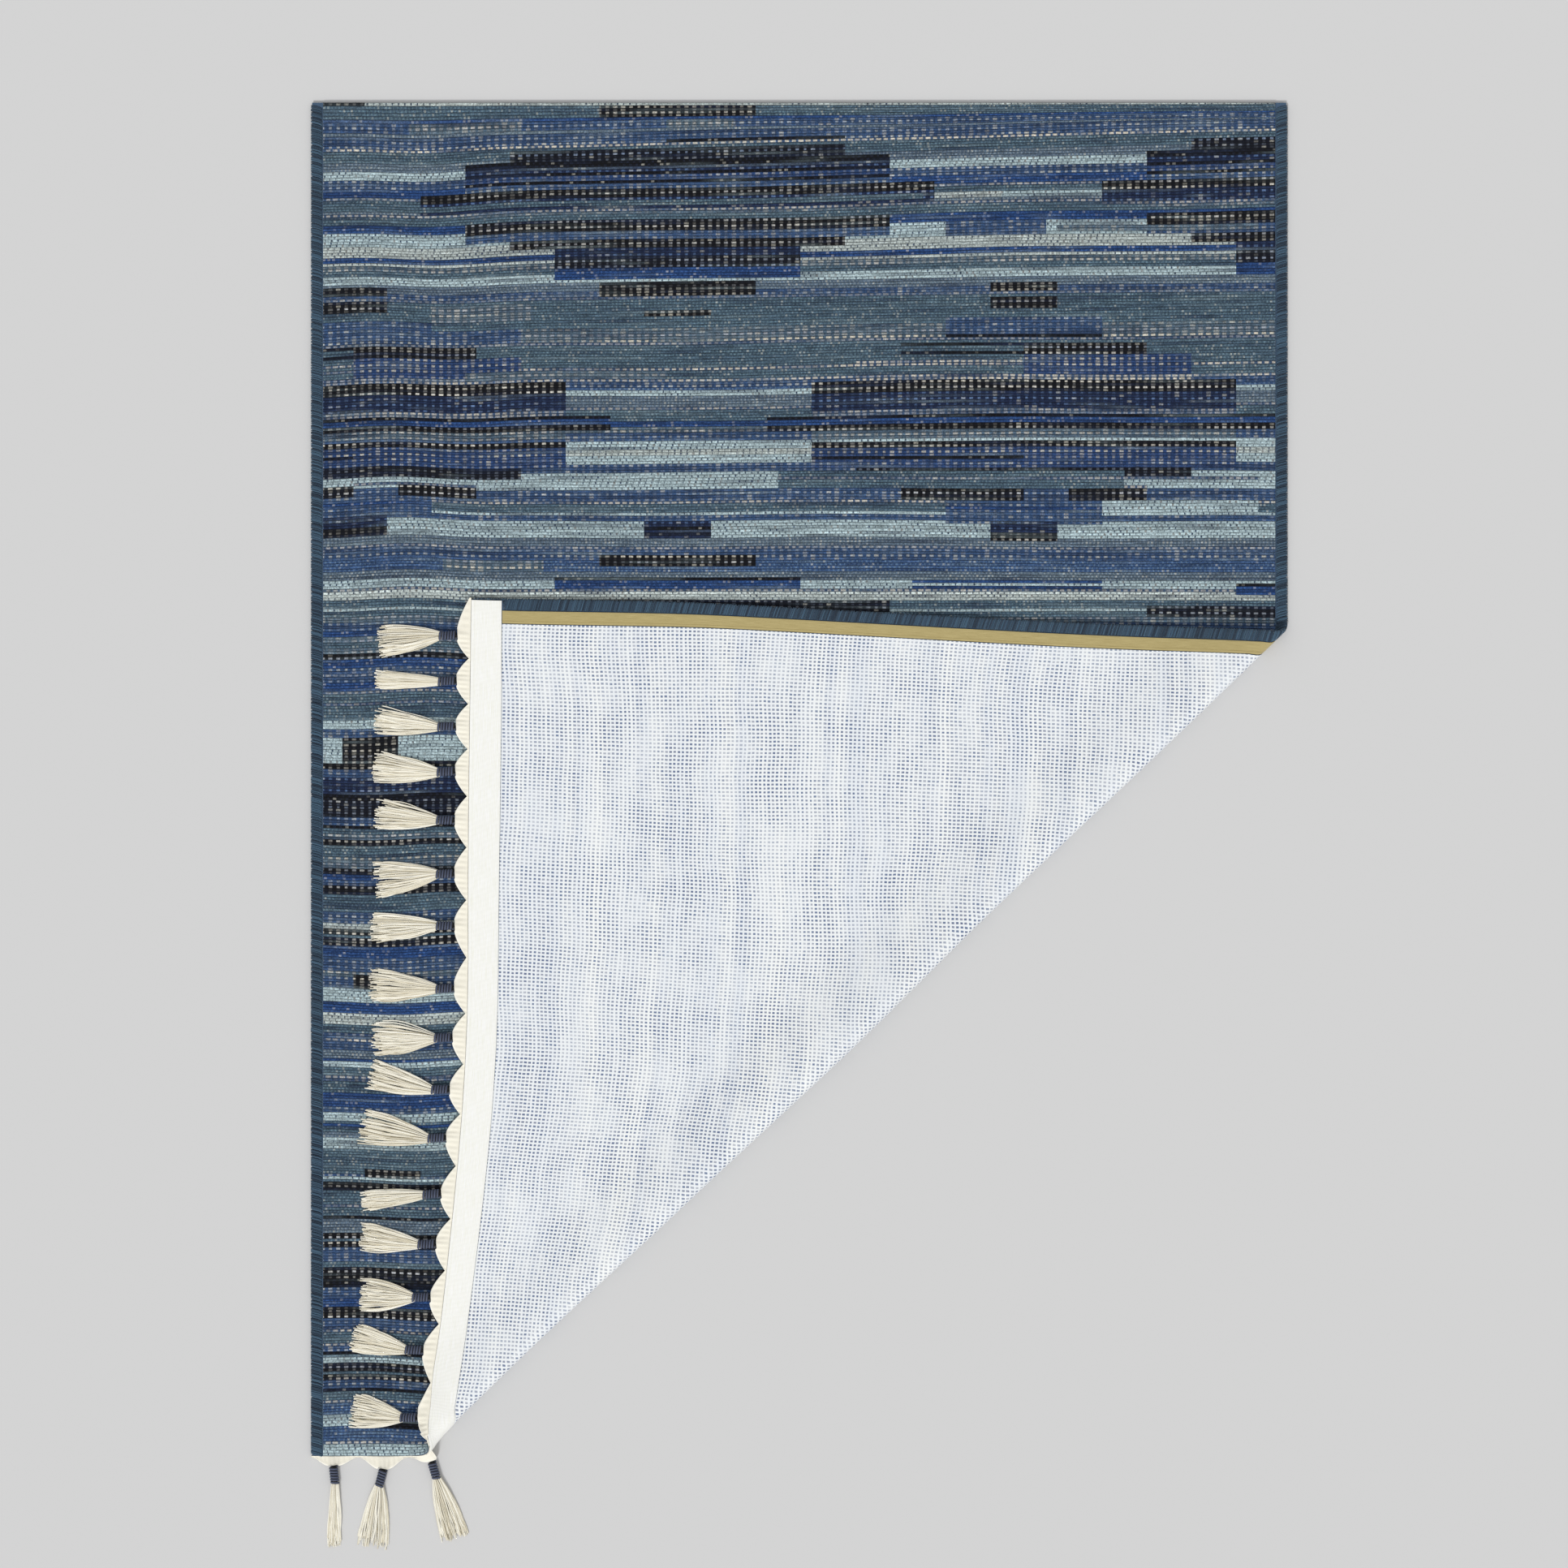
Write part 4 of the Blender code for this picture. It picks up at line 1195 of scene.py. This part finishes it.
@dataclass
class Tape:
    """A woven tape let into the cloth's back, its edges rolled under."""

    node: str
    slot: str
    u_range: tuple[float, float]
    v_range: tuple[float, float]
    runs_across: bool
    roll: float = 0.3 * MM
    pitch: float = 9 * MM

    def build(self, finish: bpy.types.Material) -> bpy.types.Object:
        """Makes the tape flat, rolls its edges and lays it.

        Args:
            finish: the tape's material.

        Returns:
            The tape.
        """
        (u0, u1), (v0, v1) = self.u_range, self.v_range
        long_side, wide_side = (u1 - u0, v1 - v0) if self.runs_across else (v1 - v0, u1 - u0)
        places = [(0, 1.0), (0.012, 0.6), (0.035, 0.2), (0.08, 0.0), (0.3, 0.0), (0.7, 0.0),
                  (0.92, 0.0), (0.965, 0.2), (0.988, 0.6), (1, 1.0)]
        count = round(long_side / self.pitch)
        bm = bmesh.new()
        uv = bm.loops.layers.uv.new("tape")
        place_of = {}
        rings = []
        for i in range(count + 1):
            low, high = [], []
            for share, rolled in places:
                along = long_side * i / count
                ends = 1.0 if i in (0, count) else 0.0
                drop = self.roll * max(rolled, ends)
                u, v = (along, share * wide_side) if self.runs_across else (share * wide_side, along)
                for chain, w in ((low, drop), (high, LAYER - drop * 0.5)):
                    vert = bm.verts.new((u0 + u, v0 + v, w))
                    place_of[vert] = (share, along)
                    chain.append(vert)
            rings.append(low + high[::-1])
        join_rings(bm, rings)
        bm.faces.new(rings[0][::-1])
        bm.faces.new(rings[-1])
        for face in bm.faces:
            for loop in face.loops:
                loop[uv].uv = place_of[loop.vert]
        LAY.cut_for_fold(bm)
        mesh = bpy.data.meshes.new(f"{self.node}_woven")
        bm.to_mesh(mesh)
        bm.free()
        mesh.vertices.foreach_set("co", LAY.laid(places_of(mesh)).ravel())
        mesh.materials.append(finish)
        mesh.shade_smooth()
        mesh.set_sharp_from_angle(angle=math.radians(60))
        piece = add_mesh(f"{self.node}_woven", mesh)
        settle(piece, self.node)
        return piece


@dataclass
class TasselPlace:
    """Where one tassel hangs: its neck's start and end, its tuft's way and the level it rests on."""

    index: int

    def __post_init__(self) -> None:
        """Works the places out from the tassel's row, as the solids do."""
        along, depth, neck_turn, tuft_turn, length, tip_width = TASSELS[self.index]
        self.along, self.depth = along * MM, depth * MM
        self.length, self.tip_width = length * MM, tip_width * MM
        self.turned = self.index >= TURNED_FROM
        self.rest = THICK + GAP if self.turned else 0.0
        flap = SETTLED + THICK / 2 - (THICK + GAP + NECK_HIGH / 2)
        self.neck_level = flap if self.turned else NECK_HIGH / 2
        held = LAY.lay_point(self.along, -self.depth, self.neck_level)
        lift = max(held[2] - NECK_HIGH / 2 - self.rest, 0.0)
        self.fall = np.array((0, 0, -LOBE_FALL * lift))
        self.start = held + self.fall
        if self.index == HANGING:
            self.start = HANGS_AT - np.array((RUG_WIDTH, RUG_LENGTH, 0)) / 2
        out = np.array((-1, -0.05, 0)) if self.turned else np.array((0, -1, 0))
        out = out / np.linalg.norm(out)
        self.end = self.start + self._rotated(out, neck_turn) * NECK_LENGTH
        self.end[2] = self.rest + NECK_HIGH / 2
        self.tuft = self._rotated(out, tuft_turn)
        way = self.end - self.start
        self.neck = way / np.linalg.norm(way)

    @staticmethod
    def _rotated(way: np.ndarray, degrees: float) -> np.ndarray:
        """Turns a level way so that a positive angle leans it to the tufts' upper or right side.

        Args:
            way: the level way.
            degrees: the angle.

        Returns:
            The turned way.
        """
        lean = math.radians(-degrees if way[0] < -0.5 else degrees)
        x = way[0] * math.cos(lean) - way[1] * math.sin(lean)
        y = way[0] * math.sin(lean) + way[1] * math.cos(lean)
        return np.array((x, y, 0.0))

    def half_widths(self) -> tuple[float, float]:
        """Works out the distances from the neck to its lobe's two ends.

        Returns:
            The distances towards the rug's left side and its right.
        """
        last = self.index == len(TASSELS) - 1
        before = TASSELS[self.index - 1][0] * MM if self.index else -self.along + 2 * GAP
        after = 2 * (RUG_WIDTH - GAP) - self.along if last else TASSELS[self.index + 1][0] * MM
        return (self.along - before) / 2, (after - self.along) / 2


@dataclass
class FringeHeading:
    """The cotton strip along the fringed end, scalloped, whose lobes gather into the necks."""

    rows: int = 12
    columns: int = 18
    core_columns: int = 5
    fold_depth: float = 0.8 * MM
    folds: float = 5.0
    # The turned lobes are cut back faster towards their cusps than the solids' are
    cut_back: float = 1.5
    core_reach: float = 1.15
    rim_from: float = 0.92
    rim_thinned: float = 0.55

    def build(self, finish: bpy.types.Material) -> bpy.types.Object:
        """Makes the strip as one closed band from lobe to lobe.

        Args:
            finish: the yarn's material.

        Returns:
            The heading.
        """
        rows = np.linspace(0, 1, self.rows)
        shares = [*np.linspace(-1, 0, self.core_columns)[:-1], *np.linspace(0, 1, self.columns)]
        bm = bmesh.new()
        rings = []
        for index in range(len(TASSELS)):
            place = TasselPlace(index)
            left = [(-1, s) for s in reversed(shares[1:])]
            right = [(1, s) for s in shares]
            for side, share in (left if not index else left[1:]) + right:
                low = self._lobe_points(place, side, share, rows, False)
                high = self._lobe_points(place, side, share, rows[::-1], True)
                rings.append([bm.verts.new(p) for p in np.concatenate([low, high])])
        join_rings(bm, rings)
        bm.faces.new(rings[0])
        bm.faces.new(rings[-1][::-1])
        mesh = bpy.data.meshes.new("fringe_heading_cotton")
        bm.to_mesh(mesh)
        bm.free()
        # The shade attribute here is a painted highlight towards each lobe's rolled rim
        shade = mesh.attributes.new("shade", "FLOAT", "POINT")
        shade.data.foreach_set("value", np.tile(self._rim_painted_highlight(rows), len(rings)))
        mesh.materials.append(finish)
        mesh.shade_smooth()
        piece = add_mesh("fringe_heading_cotton", mesh)
        settle(piece, "fringe_heading")
        return piece

    @staticmethod
    def _rim_painted_highlight(rows: np.ndarray) -> np.ndarray:
        """Tones over one ring of points: a painted highlight on the rolled rim."""
        tone = 0.62 + 0.3 * rows ** 6
        return np.concatenate([tone, tone[::-1]])

    def _lobe_points(self, place: TasselPlace, side: int, share: float, row: np.ndarray,
                     upper: bool) -> np.ndarray:
        """Points of one column of a lobe.

        Args:
            place: the lobe's tassel.
            side: -1 towards the rug's left side, 1 to its right.
            share: from -1 at the neck's middle, 0 at its side, to 1 at the lobe's end.
            row: shares from the root to the rim.
            upper: whether the points are on the upper skin.

        Returns:
            Rows of x, y and z.
        """
        half = place.half_widths()[side > 0]
        core = NECK_WIDE / 2
        reach = core + (half - core) * share if share > 0 else core * (1 + share)
        fall = max(share, 0.0)
        rim = 1 - fall ** self.cut_back if place.turned else (1 + math.cos(math.pi * fall)) / 2
        gather = row * (1 - fall) ** 2
        oval = math.sqrt(max(0.0, 1 - (reach / (core * self.core_reach)) ** 2))
        fold = self.fold_depth * (0.5 - 0.5 * math.cos(self.folds * 2 * math.pi * reach / half))
        web = WEB_HALF - fold * row * (1 - row) * 4
        roll = 1 - self.rim_thinned * np.clip((row - self.rim_from) / (1 - self.rim_from), 0, 1)
        thick = (web + (NECK_HIGH / 2 - WEB_HALF) * row * oval) * np.where(oval > 0, 1, roll)
        if not upper:
            thick = -thick
        facing = -1 if place.turned else 1
        across = np.cross((0.0, 0.0, facing), place.neck)
        across = across / np.linalg.norm(across)
        lift = np.cross(place.neck, across)
        tip = place.start - place.neck * LOBE_TO_NECK + across * side * reach
        hung = tip + lift * thick[:, None]
        along = np.full_like(row, place.along + side * reach)
        if place.index == HANGING:
            sewn = LAY.laid(np.stack([along, -GAP - CUSP_DEPTH * row, ROOT_MIDDLE + thick], 1))
            weight = (row * rim * rim)[:, None]
            return sewn + (hung - sewn) * weight
        depth = CUSP_DEPTH + (place.depth - CUSP_DEPTH) * rim
        middle = ROOT_MIDDLE + (place.neck_level - ROOT_MIDDLE) * gather
        sewn = LAY.laid(np.stack([along, -GAP - depth * row, middle + thick], 1))
        sewn = sewn + place.fall * gather[:, None]
        return sewn + (hung - sewn) * (row * row)[:, None] if share <= 0 else sewn


def winding_tree() -> Tree:
    """Makes the tree that winds thread round a neck, along +Z and wider than high.

    Returns:
        The tree.
    """
    tree = Tree.start("neck_winding", (
        ("Turns", "NodeSocketFloat", 6.0), ("Length", "NodeSocketFloat", NECK_LENGTH),
        ("Wide", "NodeSocketFloat", NECK_WIDE), ("High", "NodeSocketFloat", NECK_HIGH),
        ("Thread Radius", "NodeSocketFloat", 1.3 * MM), ("Finish", "NodeSocketMaterial", None),
    ))
    given = tree.add("NodeGroupInput").node.outputs
    radius = given["Thread Radius"]
    doubled = tree.add("ShaderNodeMath", {0: radius, 1: 2.0}, operation="MULTIPLY")
    height = tree.add("ShaderNodeMath", {0: given["Length"], 1: doubled}, operation="SUBTRACT")
    spiral = tree.add("GeometryNodeCurveSpiral", {
        "Resolution": 22, "Rotations": given["Turns"], "Start Radius": 0.5, "End Radius": 0.5,
        "Height": height,
    })
    wide = tree.add("ShaderNodeMath", {0: given["Wide"], 1: doubled}, operation="SUBTRACT")
    high = tree.add("ShaderNodeMath", {0: given["High"], 1: doubled}, operation="SUBTRACT")
    size = tree.add("ShaderNodeCombineXYZ", {0: wide, 1: high, 2: 1.0})
    start = tree.add("ShaderNodeCombineXYZ", {2: radius})
    coil = tree.add("GeometryNodeTransform", {"Geometry": spiral, "Translation": start, "Scale": size})
    ring = tree.add("GeometryNodeCurvePrimitiveCircle", {"Resolution": 8, "Radius": radius})
    thread = tree.add("GeometryNodeCurveToMesh", {"Curve": coil, "Profile Curve": ring, "Fill Caps": True})

    # Painted highlight on each turn's crest and painted shade in the groove, by how far out of the oval a
    # point lies
    to_oval = tree.add("ShaderNodeCombineXYZ", {0: given["Wide"], 1: given["High"], 2: 1.0})
    place = tree.add("GeometryNodeInputPosition")
    flat_place = tree.add("ShaderNodeVectorMath", {0: place, 1: (2.0, 2.0, 0.0)}, operation="MULTIPLY")
    oval = tree.add("ShaderNodeVectorMath", {0: flat_place, 1: to_oval}, operation="DIVIDE")
    out = tree.add("ShaderNodeVectorMath", {0: oval}, operation="LENGTH").node.outputs["Value"]
    crest = tree.add("ShaderNodeMapRange", {0: out, 1: 0.84, 2: 0.99, 3: 0.0, 4: 1.0})
    shaded = tree.add(
        "GeometryNodeStoreNamedAttribute", {"Geometry": thread, "Name": "shade", "Value": crest},
        data_type="FLOAT", domain="POINT",
    )
    smooth = tree.add("GeometryNodeSetShadeSmooth", {"Geometry": shaded})
    tree.close(smooth, given["Finish"])
    return tree


def tuft_tree() -> Tree:
    """Makes the tree that fans threads out of a neck, along +Y and resting on the level z = 0.

    Returns:
        The tree.
    """
    tree = Tree.start("tassel_tuft", (
        ("Threads", "NodeSocketInt", 70), ("Length", "NodeSocketFloat", 57 * MM),
        ("Inside", "NodeSocketFloat", 4 * MM), ("Root Width", "NodeSocketFloat", 6.4 * MM),
        ("Root Height", "NodeSocketFloat", 3.6 * MM), ("Root Level", "NodeSocketFloat", NECK_HIGH / 2),
        ("Tip Width", "NodeSocketFloat", 27 * MM), ("Tip Height", "NodeSocketFloat", 3.2 * MM),
        ("Thread Radius", "NodeSocketFloat", 0.55 * MM), ("Segments", "NodeSocketInt", 13),
        ("Clumps", "NodeSocketFloat", 6.0), ("Seed", "NodeSocketInt", 1),
        ("Finish", "NodeSocketMaterial", None),
    ))
    given = tree.add("NodeGroupInput").node.outputs
    points = tree.add("GeometryNodePoints", {"Count": given["Threads"]})
    line = tree.add("GeometryNodeCurvePrimitiveLine", {"Start": (0, 0, 0), "End": (0, 1, 0)})
    line = tree.add("GeometryNodeResampleCurve", {"Curve": line, "Count": given["Segments"]})
    threads = tree.add("GeometryNodeInstanceOnPoints", {"Points": points, "Instance": line})
    for number, (name, low, high) in enumerate((
        ("side_place", -1.0, 1.0), ("layer", 0.0, 1.0), ("reach", 0.84, 1.04), ("shade", 0.0, 1.0),
        ("curl", -1.0, 1.0),
    )):
        seed = tree.add("ShaderNodeMath", {0: given["Seed"], 1: 17.0 * number}, operation="ADD")
        value = tree.add("FunctionNodeRandomValue", {2: low, 3: high, "Seed": seed}, data_type="FLOAT")
        threads = tree.add(
            "GeometryNodeStoreNamedAttribute",
            {"Geometry": threads, "Name": name, "Value": value.node.outputs[1]},
            data_type="FLOAT", domain="INSTANCE",
        )
    threads = tree.add("GeometryNodeRealizeInstances", {0: threads})
    side, layer, reach, curl = (
        tree.add("GeometryNodeInputNamedAttribute", {"Name": name}, data_type="FLOAT")
        for name in ("side_place", "layer", "reach", "curl")
    )
    share = tree.add("GeometryNodeSplineParameter")

    # Threads gather in clumps towards their tips
    scaled = tree.add("ShaderNodeMath", {0: side, 1: given["Clumps"]}, operation="MULTIPLY")
    whole = tree.add("ShaderNodeMath", {0: scaled}, operation="ROUND")
    clump = tree.add("ShaderNodeMath", {0: whole, 1: given["Clumps"]}, operation="DIVIDE")
    tip_side = tree.add("ShaderNodeMix", {0: 0.35, 2: side, 3: clump}, data_type="FLOAT")
    bend = tree.add("ShaderNodeMath", {0: 1.0, 1: share}, operation="SUBTRACT")
    bend = tree.add("ShaderNodeMath", {0: bend, 1: 1.8}, operation="POWER")
    ease = tree.add("ShaderNodeMath", {0: 1.0, 1: bend}, operation="SUBTRACT")
    root_half = tree.add("ShaderNodeMath", {0: given["Root Width"], 1: 0.5}, operation="MULTIPLY")
    tip_half = tree.add("ShaderNodeMath", {0: given["Tip Width"], 1: 0.5}, operation="MULTIPLY")
    root_x = tree.add("ShaderNodeMath", {0: side, 1: root_half}, operation="MULTIPLY")
    tip_x = tree.add("ShaderNodeMath", {0: tip_side, 1: tip_half}, operation="MULTIPLY")
    x = tree.add("ShaderNodeMix", {0: ease, 2: root_x, 3: tip_x}, data_type="FLOAT")

    # Each thread snakes a little of its own accord, more towards its tip
    wave = tree.add("ShaderNodeMath", {0: share, 1: 7.0}, operation="MULTIPLY")
    wave = tree.add("ShaderNodeMath", {0: curl, 1: 9.0, 2: wave}, operation="MULTIPLY_ADD")
    wave = tree.add("ShaderNodeMath", {0: wave}, operation="SINE")
    amount = tree.add("ShaderNodeMath", {0: share, 1: 1.6 * MM}, operation="MULTIPLY")
    amount = tree.add("ShaderNodeMath", {0: amount, 1: curl}, operation="MULTIPLY")
    snaking = tree.add("ShaderNodeMath", {0: wave, 1: amount}, operation="MULTIPLY")
    x = tree.add("ShaderNodeMath", {0: x, 1: snaking}, operation="ADD")

    full = tree.add("ShaderNodeMath", {0: given["Length"], 1: reach}, operation="MULTIPLY")
    full = tree.add("ShaderNodeMath", {0: full, 1: given["Inside"]}, operation="ADD")
    inside = tree.add("ShaderNodeMath", {0: given["Inside"], 1: -1.0}, operation="MULTIPLY")
    y = tree.add("ShaderNodeMath", {0: share, 1: full, 2: inside}, operation="MULTIPLY_ADD")

    # From round the neck's middle down to a low heap on the floor, thinner at its sides
    square = tree.add("ShaderNodeMath", {0: side, 1: side}, operation="MULTIPLY")
    round_off = tree.add("ShaderNodeMath", {0: 1.0, 1: square}, operation="SUBTRACT")
    crown = tree.add("ShaderNodeMath", {0: round_off, 1: 0.5}, operation="POWER")
    centred = tree.add("ShaderNodeMath", {0: layer, 1: 0.5}, operation="SUBTRACT")
    root_z = tree.add("ShaderNodeMath", {0: centred, 1: given["Root Height"]}, operation="MULTIPLY")
    root_z = tree.add(
        "ShaderNodeMath", {0: root_z, 1: crown, 2: given["Root Level"]}, operation="MULTIPLY_ADD"
    )
    tip_z = tree.add("ShaderNodeMath", {0: layer, 1: given["Tip Height"]}, operation="MULTIPLY")
    tip_z = tree.add("ShaderNodeMath", {0: tip_z, 1: crown}, operation="MULTIPLY")
    z = tree.add("ShaderNodeMix", {0: ease, 2: root_z, 3: tip_z}, data_type="FLOAT")
    z = tree.add("ShaderNodeMath", {0: z, 1: given["Thread Radius"]}, operation="MAXIMUM")
    place = tree.add("ShaderNodeCombineXYZ", {0: x, 1: y, 2: z})
    laid = tree.add("GeometryNodeSetPosition", {"Geometry": threads, "Position": place})

    taper = tree.add("ShaderNodeMapRange", {0: share, 1: 0.0, 2: 0.3, 3: 0.55, 4: 1.0})
    radius = tree.add("ShaderNodeMath", {0: taper, 1: given["Thread Radius"]}, operation="MULTIPLY")
    ring = tree.add("GeometryNodeCurvePrimitiveCircle", {"Resolution": 4, "Radius": 1.0})
    yarn = tree.add(
        "GeometryNodeCurveToMesh",
        {"Curve": laid, "Profile Curve": ring, "Scale": radius, "Fill Caps": True},
    )
    smooth = tree.add("GeometryNodeSetShadeSmooth", {"Geometry": yarn})
    tree.close(smooth, given["Finish"])
    return tree


@dataclass
class Tassel:
    """One tassel: navy thread wound round its neck, and a fanned tuft of cotton threads."""

    index: int
    # The photo shows about ten turns, drawn as six thicker ones so that they show
    turns: float = 6.0
    thread_radius: float = 1.3 * MM
    tuft_threads: int = 84

    def build(self, winding: Tree, tuft: Tree, navy: bpy.types.Material,
              cream: bpy.types.Material) -> None:
        """Winds the neck and fans the tuft.

        Args:
            winding: the winding tree.
            tuft: the tuft tree.
            navy: the binding thread's material.
            cream: the fringe yarn's material.
        """
        place = TasselPlace(self.index)
        number = f"{self.index + 1:02d}"
        seedless = bpy.data.meshes.new("seed")
        wound = winding.grow(seedless, {
            "Turns": self.turns, "Length": float(np.linalg.norm(place.end - place.start)),
            "Thread Radius": self.thread_radius, "Finish": navy,
        })
        wound.transform(self._frame(place.start, place.neck))
        settle(add_mesh(f"neck_winding_{number}", wound), f"tassel_wrap_{number}")
        fanned = tuft.grow(seedless, {
            "Threads": self.tuft_threads, "Length": place.length, "Tip Width": place.tip_width,
            "Seed": 100 + 7 * self.index, "Finish": cream,
        })
        level = Vector((*place.end[:2], place.rest))
        side = Vector((0, 0, -1)).cross(Vector(place.tuft))
        axes = Matrix((side, place.tuft, (0, 0, 1))).transposed().to_4x4()
        fanned.transform(Matrix.Translation(level) @ axes)
        settle(add_mesh(f"tuft_{number}", fanned), f"tassel_{number}")

    @staticmethod
    def _frame(start: np.ndarray, way: np.ndarray) -> Matrix:
        """Works out where a piece made along +Z, wide along X, goes on the neck.

        Args:
            start: the neck's start.
            way: the neck's way.

        Returns:
            The piece's place and turn.
        """
        along = Vector(way)
        across = Vector((0, 0, 1)).cross(along).normalized()
        up = along.cross(across)
        axes = Matrix((across, up, along)).transposed().to_4x4()
        return Matrix.Translation(Vector(start)) @ axes


@dataclass
class Studio:
    """Plain pale floor, soft light and a camera straight above."""

    image: int = 1932
    image_width: float = 1932 * 0.76 * MM
    lens: float = 85.0
    sensor: float = 36.0
    # The pixel of the image that the rug's middle falls on
    middle_px: tuple[float, float] = (984.7, 960.1)
    floor_colour: str = "#d3d3d3"
    floor_half: float = 6.0
    floor_gap: float = 0.2 * MM
    sky: float = 0.62
    key_energy: float = 1.7
    key_degrees: float = 14.0
    key_from: tuple[float, float, float] = (-0.8, -2.2, 2.4)

    def build(self) -> None:
        """Sets the stage."""
        # A product photograph's plain white point, with no film curve
        bpy.context.scene.view_settings.view_transform = "Standard"
        self._camera()
        self._floor()
        self._lights()

    def _camera(self) -> None:
        """The camera looks straight down, its picture's edges along the rug's."""
        camera = bpy.data.cameras.new("camera")
        camera.lens = self.lens
        camera.sensor_width = self.sensor
        made = bpy.data.objects.new("camera", camera)
        across = (self.image / 2 - self.middle_px[0]) / self.image * self.image_width
        up = (self.middle_px[1] - self.image / 2) / self.image * self.image_width
        made.location = (across, up, self.image_width * self.lens / self.sensor)
        bpy.context.scene.collection.objects.link(made)
        bpy.context.scene.camera = made

    def _floor(self) -> None:
        """A wide matt floor just under the rug."""
        bm = bmesh.new()
        bmesh.ops.create_grid(bm, x_segments=1, y_segments=1, size=self.floor_half)
        mesh = bpy.data.meshes.new("floor")
        bm.to_mesh(mesh)
        bm.free()
        floor = bpy.data.objects.new("floor", mesh)
        floor.location.z = -self.floor_gap
        made, shader = new_finish("matt_paper_floor", 0.95, 0.0)
        shader.inputs["Base Color"].default_value = linear(self.floor_colour)
        shader.inputs["Specular IOR Level"].default_value = 0.1
        mesh.materials.append(made)
        bpy.context.scene.collection.objects.link(floor)

    def _lights(self) -> None:
        """A soft key from the fringed end and an even sky."""
        world = bpy.data.worlds.new("sky")
        world.use_nodes = True
        background = world.node_tree.nodes["Background"]
        background.inputs["Color"].default_value = (1, 1, 1, 1)
        background.inputs["Strength"].default_value = self.sky
        bpy.context.scene.world = world
        light = bpy.data.lights.new("key", "SUN")
        light.angle = math.radians(self.key_degrees)
        light.energy = self.key_energy
        key = bpy.data.objects.new("key", light)
        key.location = self.key_from
        key.rotation_euler = (Vector((0, 0, 0)) - key.location).to_track_quat("-Z", "Y").to_euler()
        bpy.context.scene.collection.objects.link(key)


def main() -> None:
    """Builds the rug piece by piece and sets the stage."""
    logging.basicConfig(level=logging.INFO, format="%(name)s: %(message)s")
    Studio().build()
    cream = YarnFinish("spun_cotton_fringe_yarn", "#ded6bf", "#fffcf0").material()
    # On the windings the shade runs from the dark colour, painted shade in the grooves, to the light one, a
    # painted highlight on the crests
    navy = YarnFinish("mercerised_navy_thread", "#070a14", "#475069", 0.6, 0.1, 900.0).material()
    serged = YarnFinish("overcast_teal_yarn", "#16293c", "#4a6a82", 0.85).material()
    gold = TapeFinish(
        "woven_gold_binding_tape", "#9c8b55", "#c6b680", seam_at=0.2, seam_painted_shade=0.5
    ).material()
    white = TapeFinish("white_cotton_tape", "#f2f2e6", "#ffffff", seam_painted_shade=0.2).material()

    cloth = RugCloth().build()
    stitches = stitch_tree()
    with_cloth = [
        Serging("serging_left", False).build(stitches, serged),
        Serging("serging_right", True).build(stitches, serged),
    ]
    gold_start = RUG_WIDTH - SERGE_REACH - GAP - GOLD_WIDTH
    clear = 2 * LAYER + GAP
    with_cloth.append(Tape(
        "gold_tape", "gold_tape", (gold_start, gold_start + GOLD_WIDTH),
        (WHITE_WIDTH + 2 * GAP, RUG_LENGTH), False,
    ).build(gold))
    with_cloth.append(Tape(
        "white_tape", "white_tape", (clear, RUG_WIDTH - clear), (0.0, WHITE_WIDTH), True,
    ).build(white))
    with_cloth.append(FringeHeading().build(cream))
    winding, tuft = winding_tree(), tuft_tree()
    for index in range(len(TASSELS)):
        Tassel(index).build(winding, tuft, navy, cream)


if __name__ == "__main__":
    main()
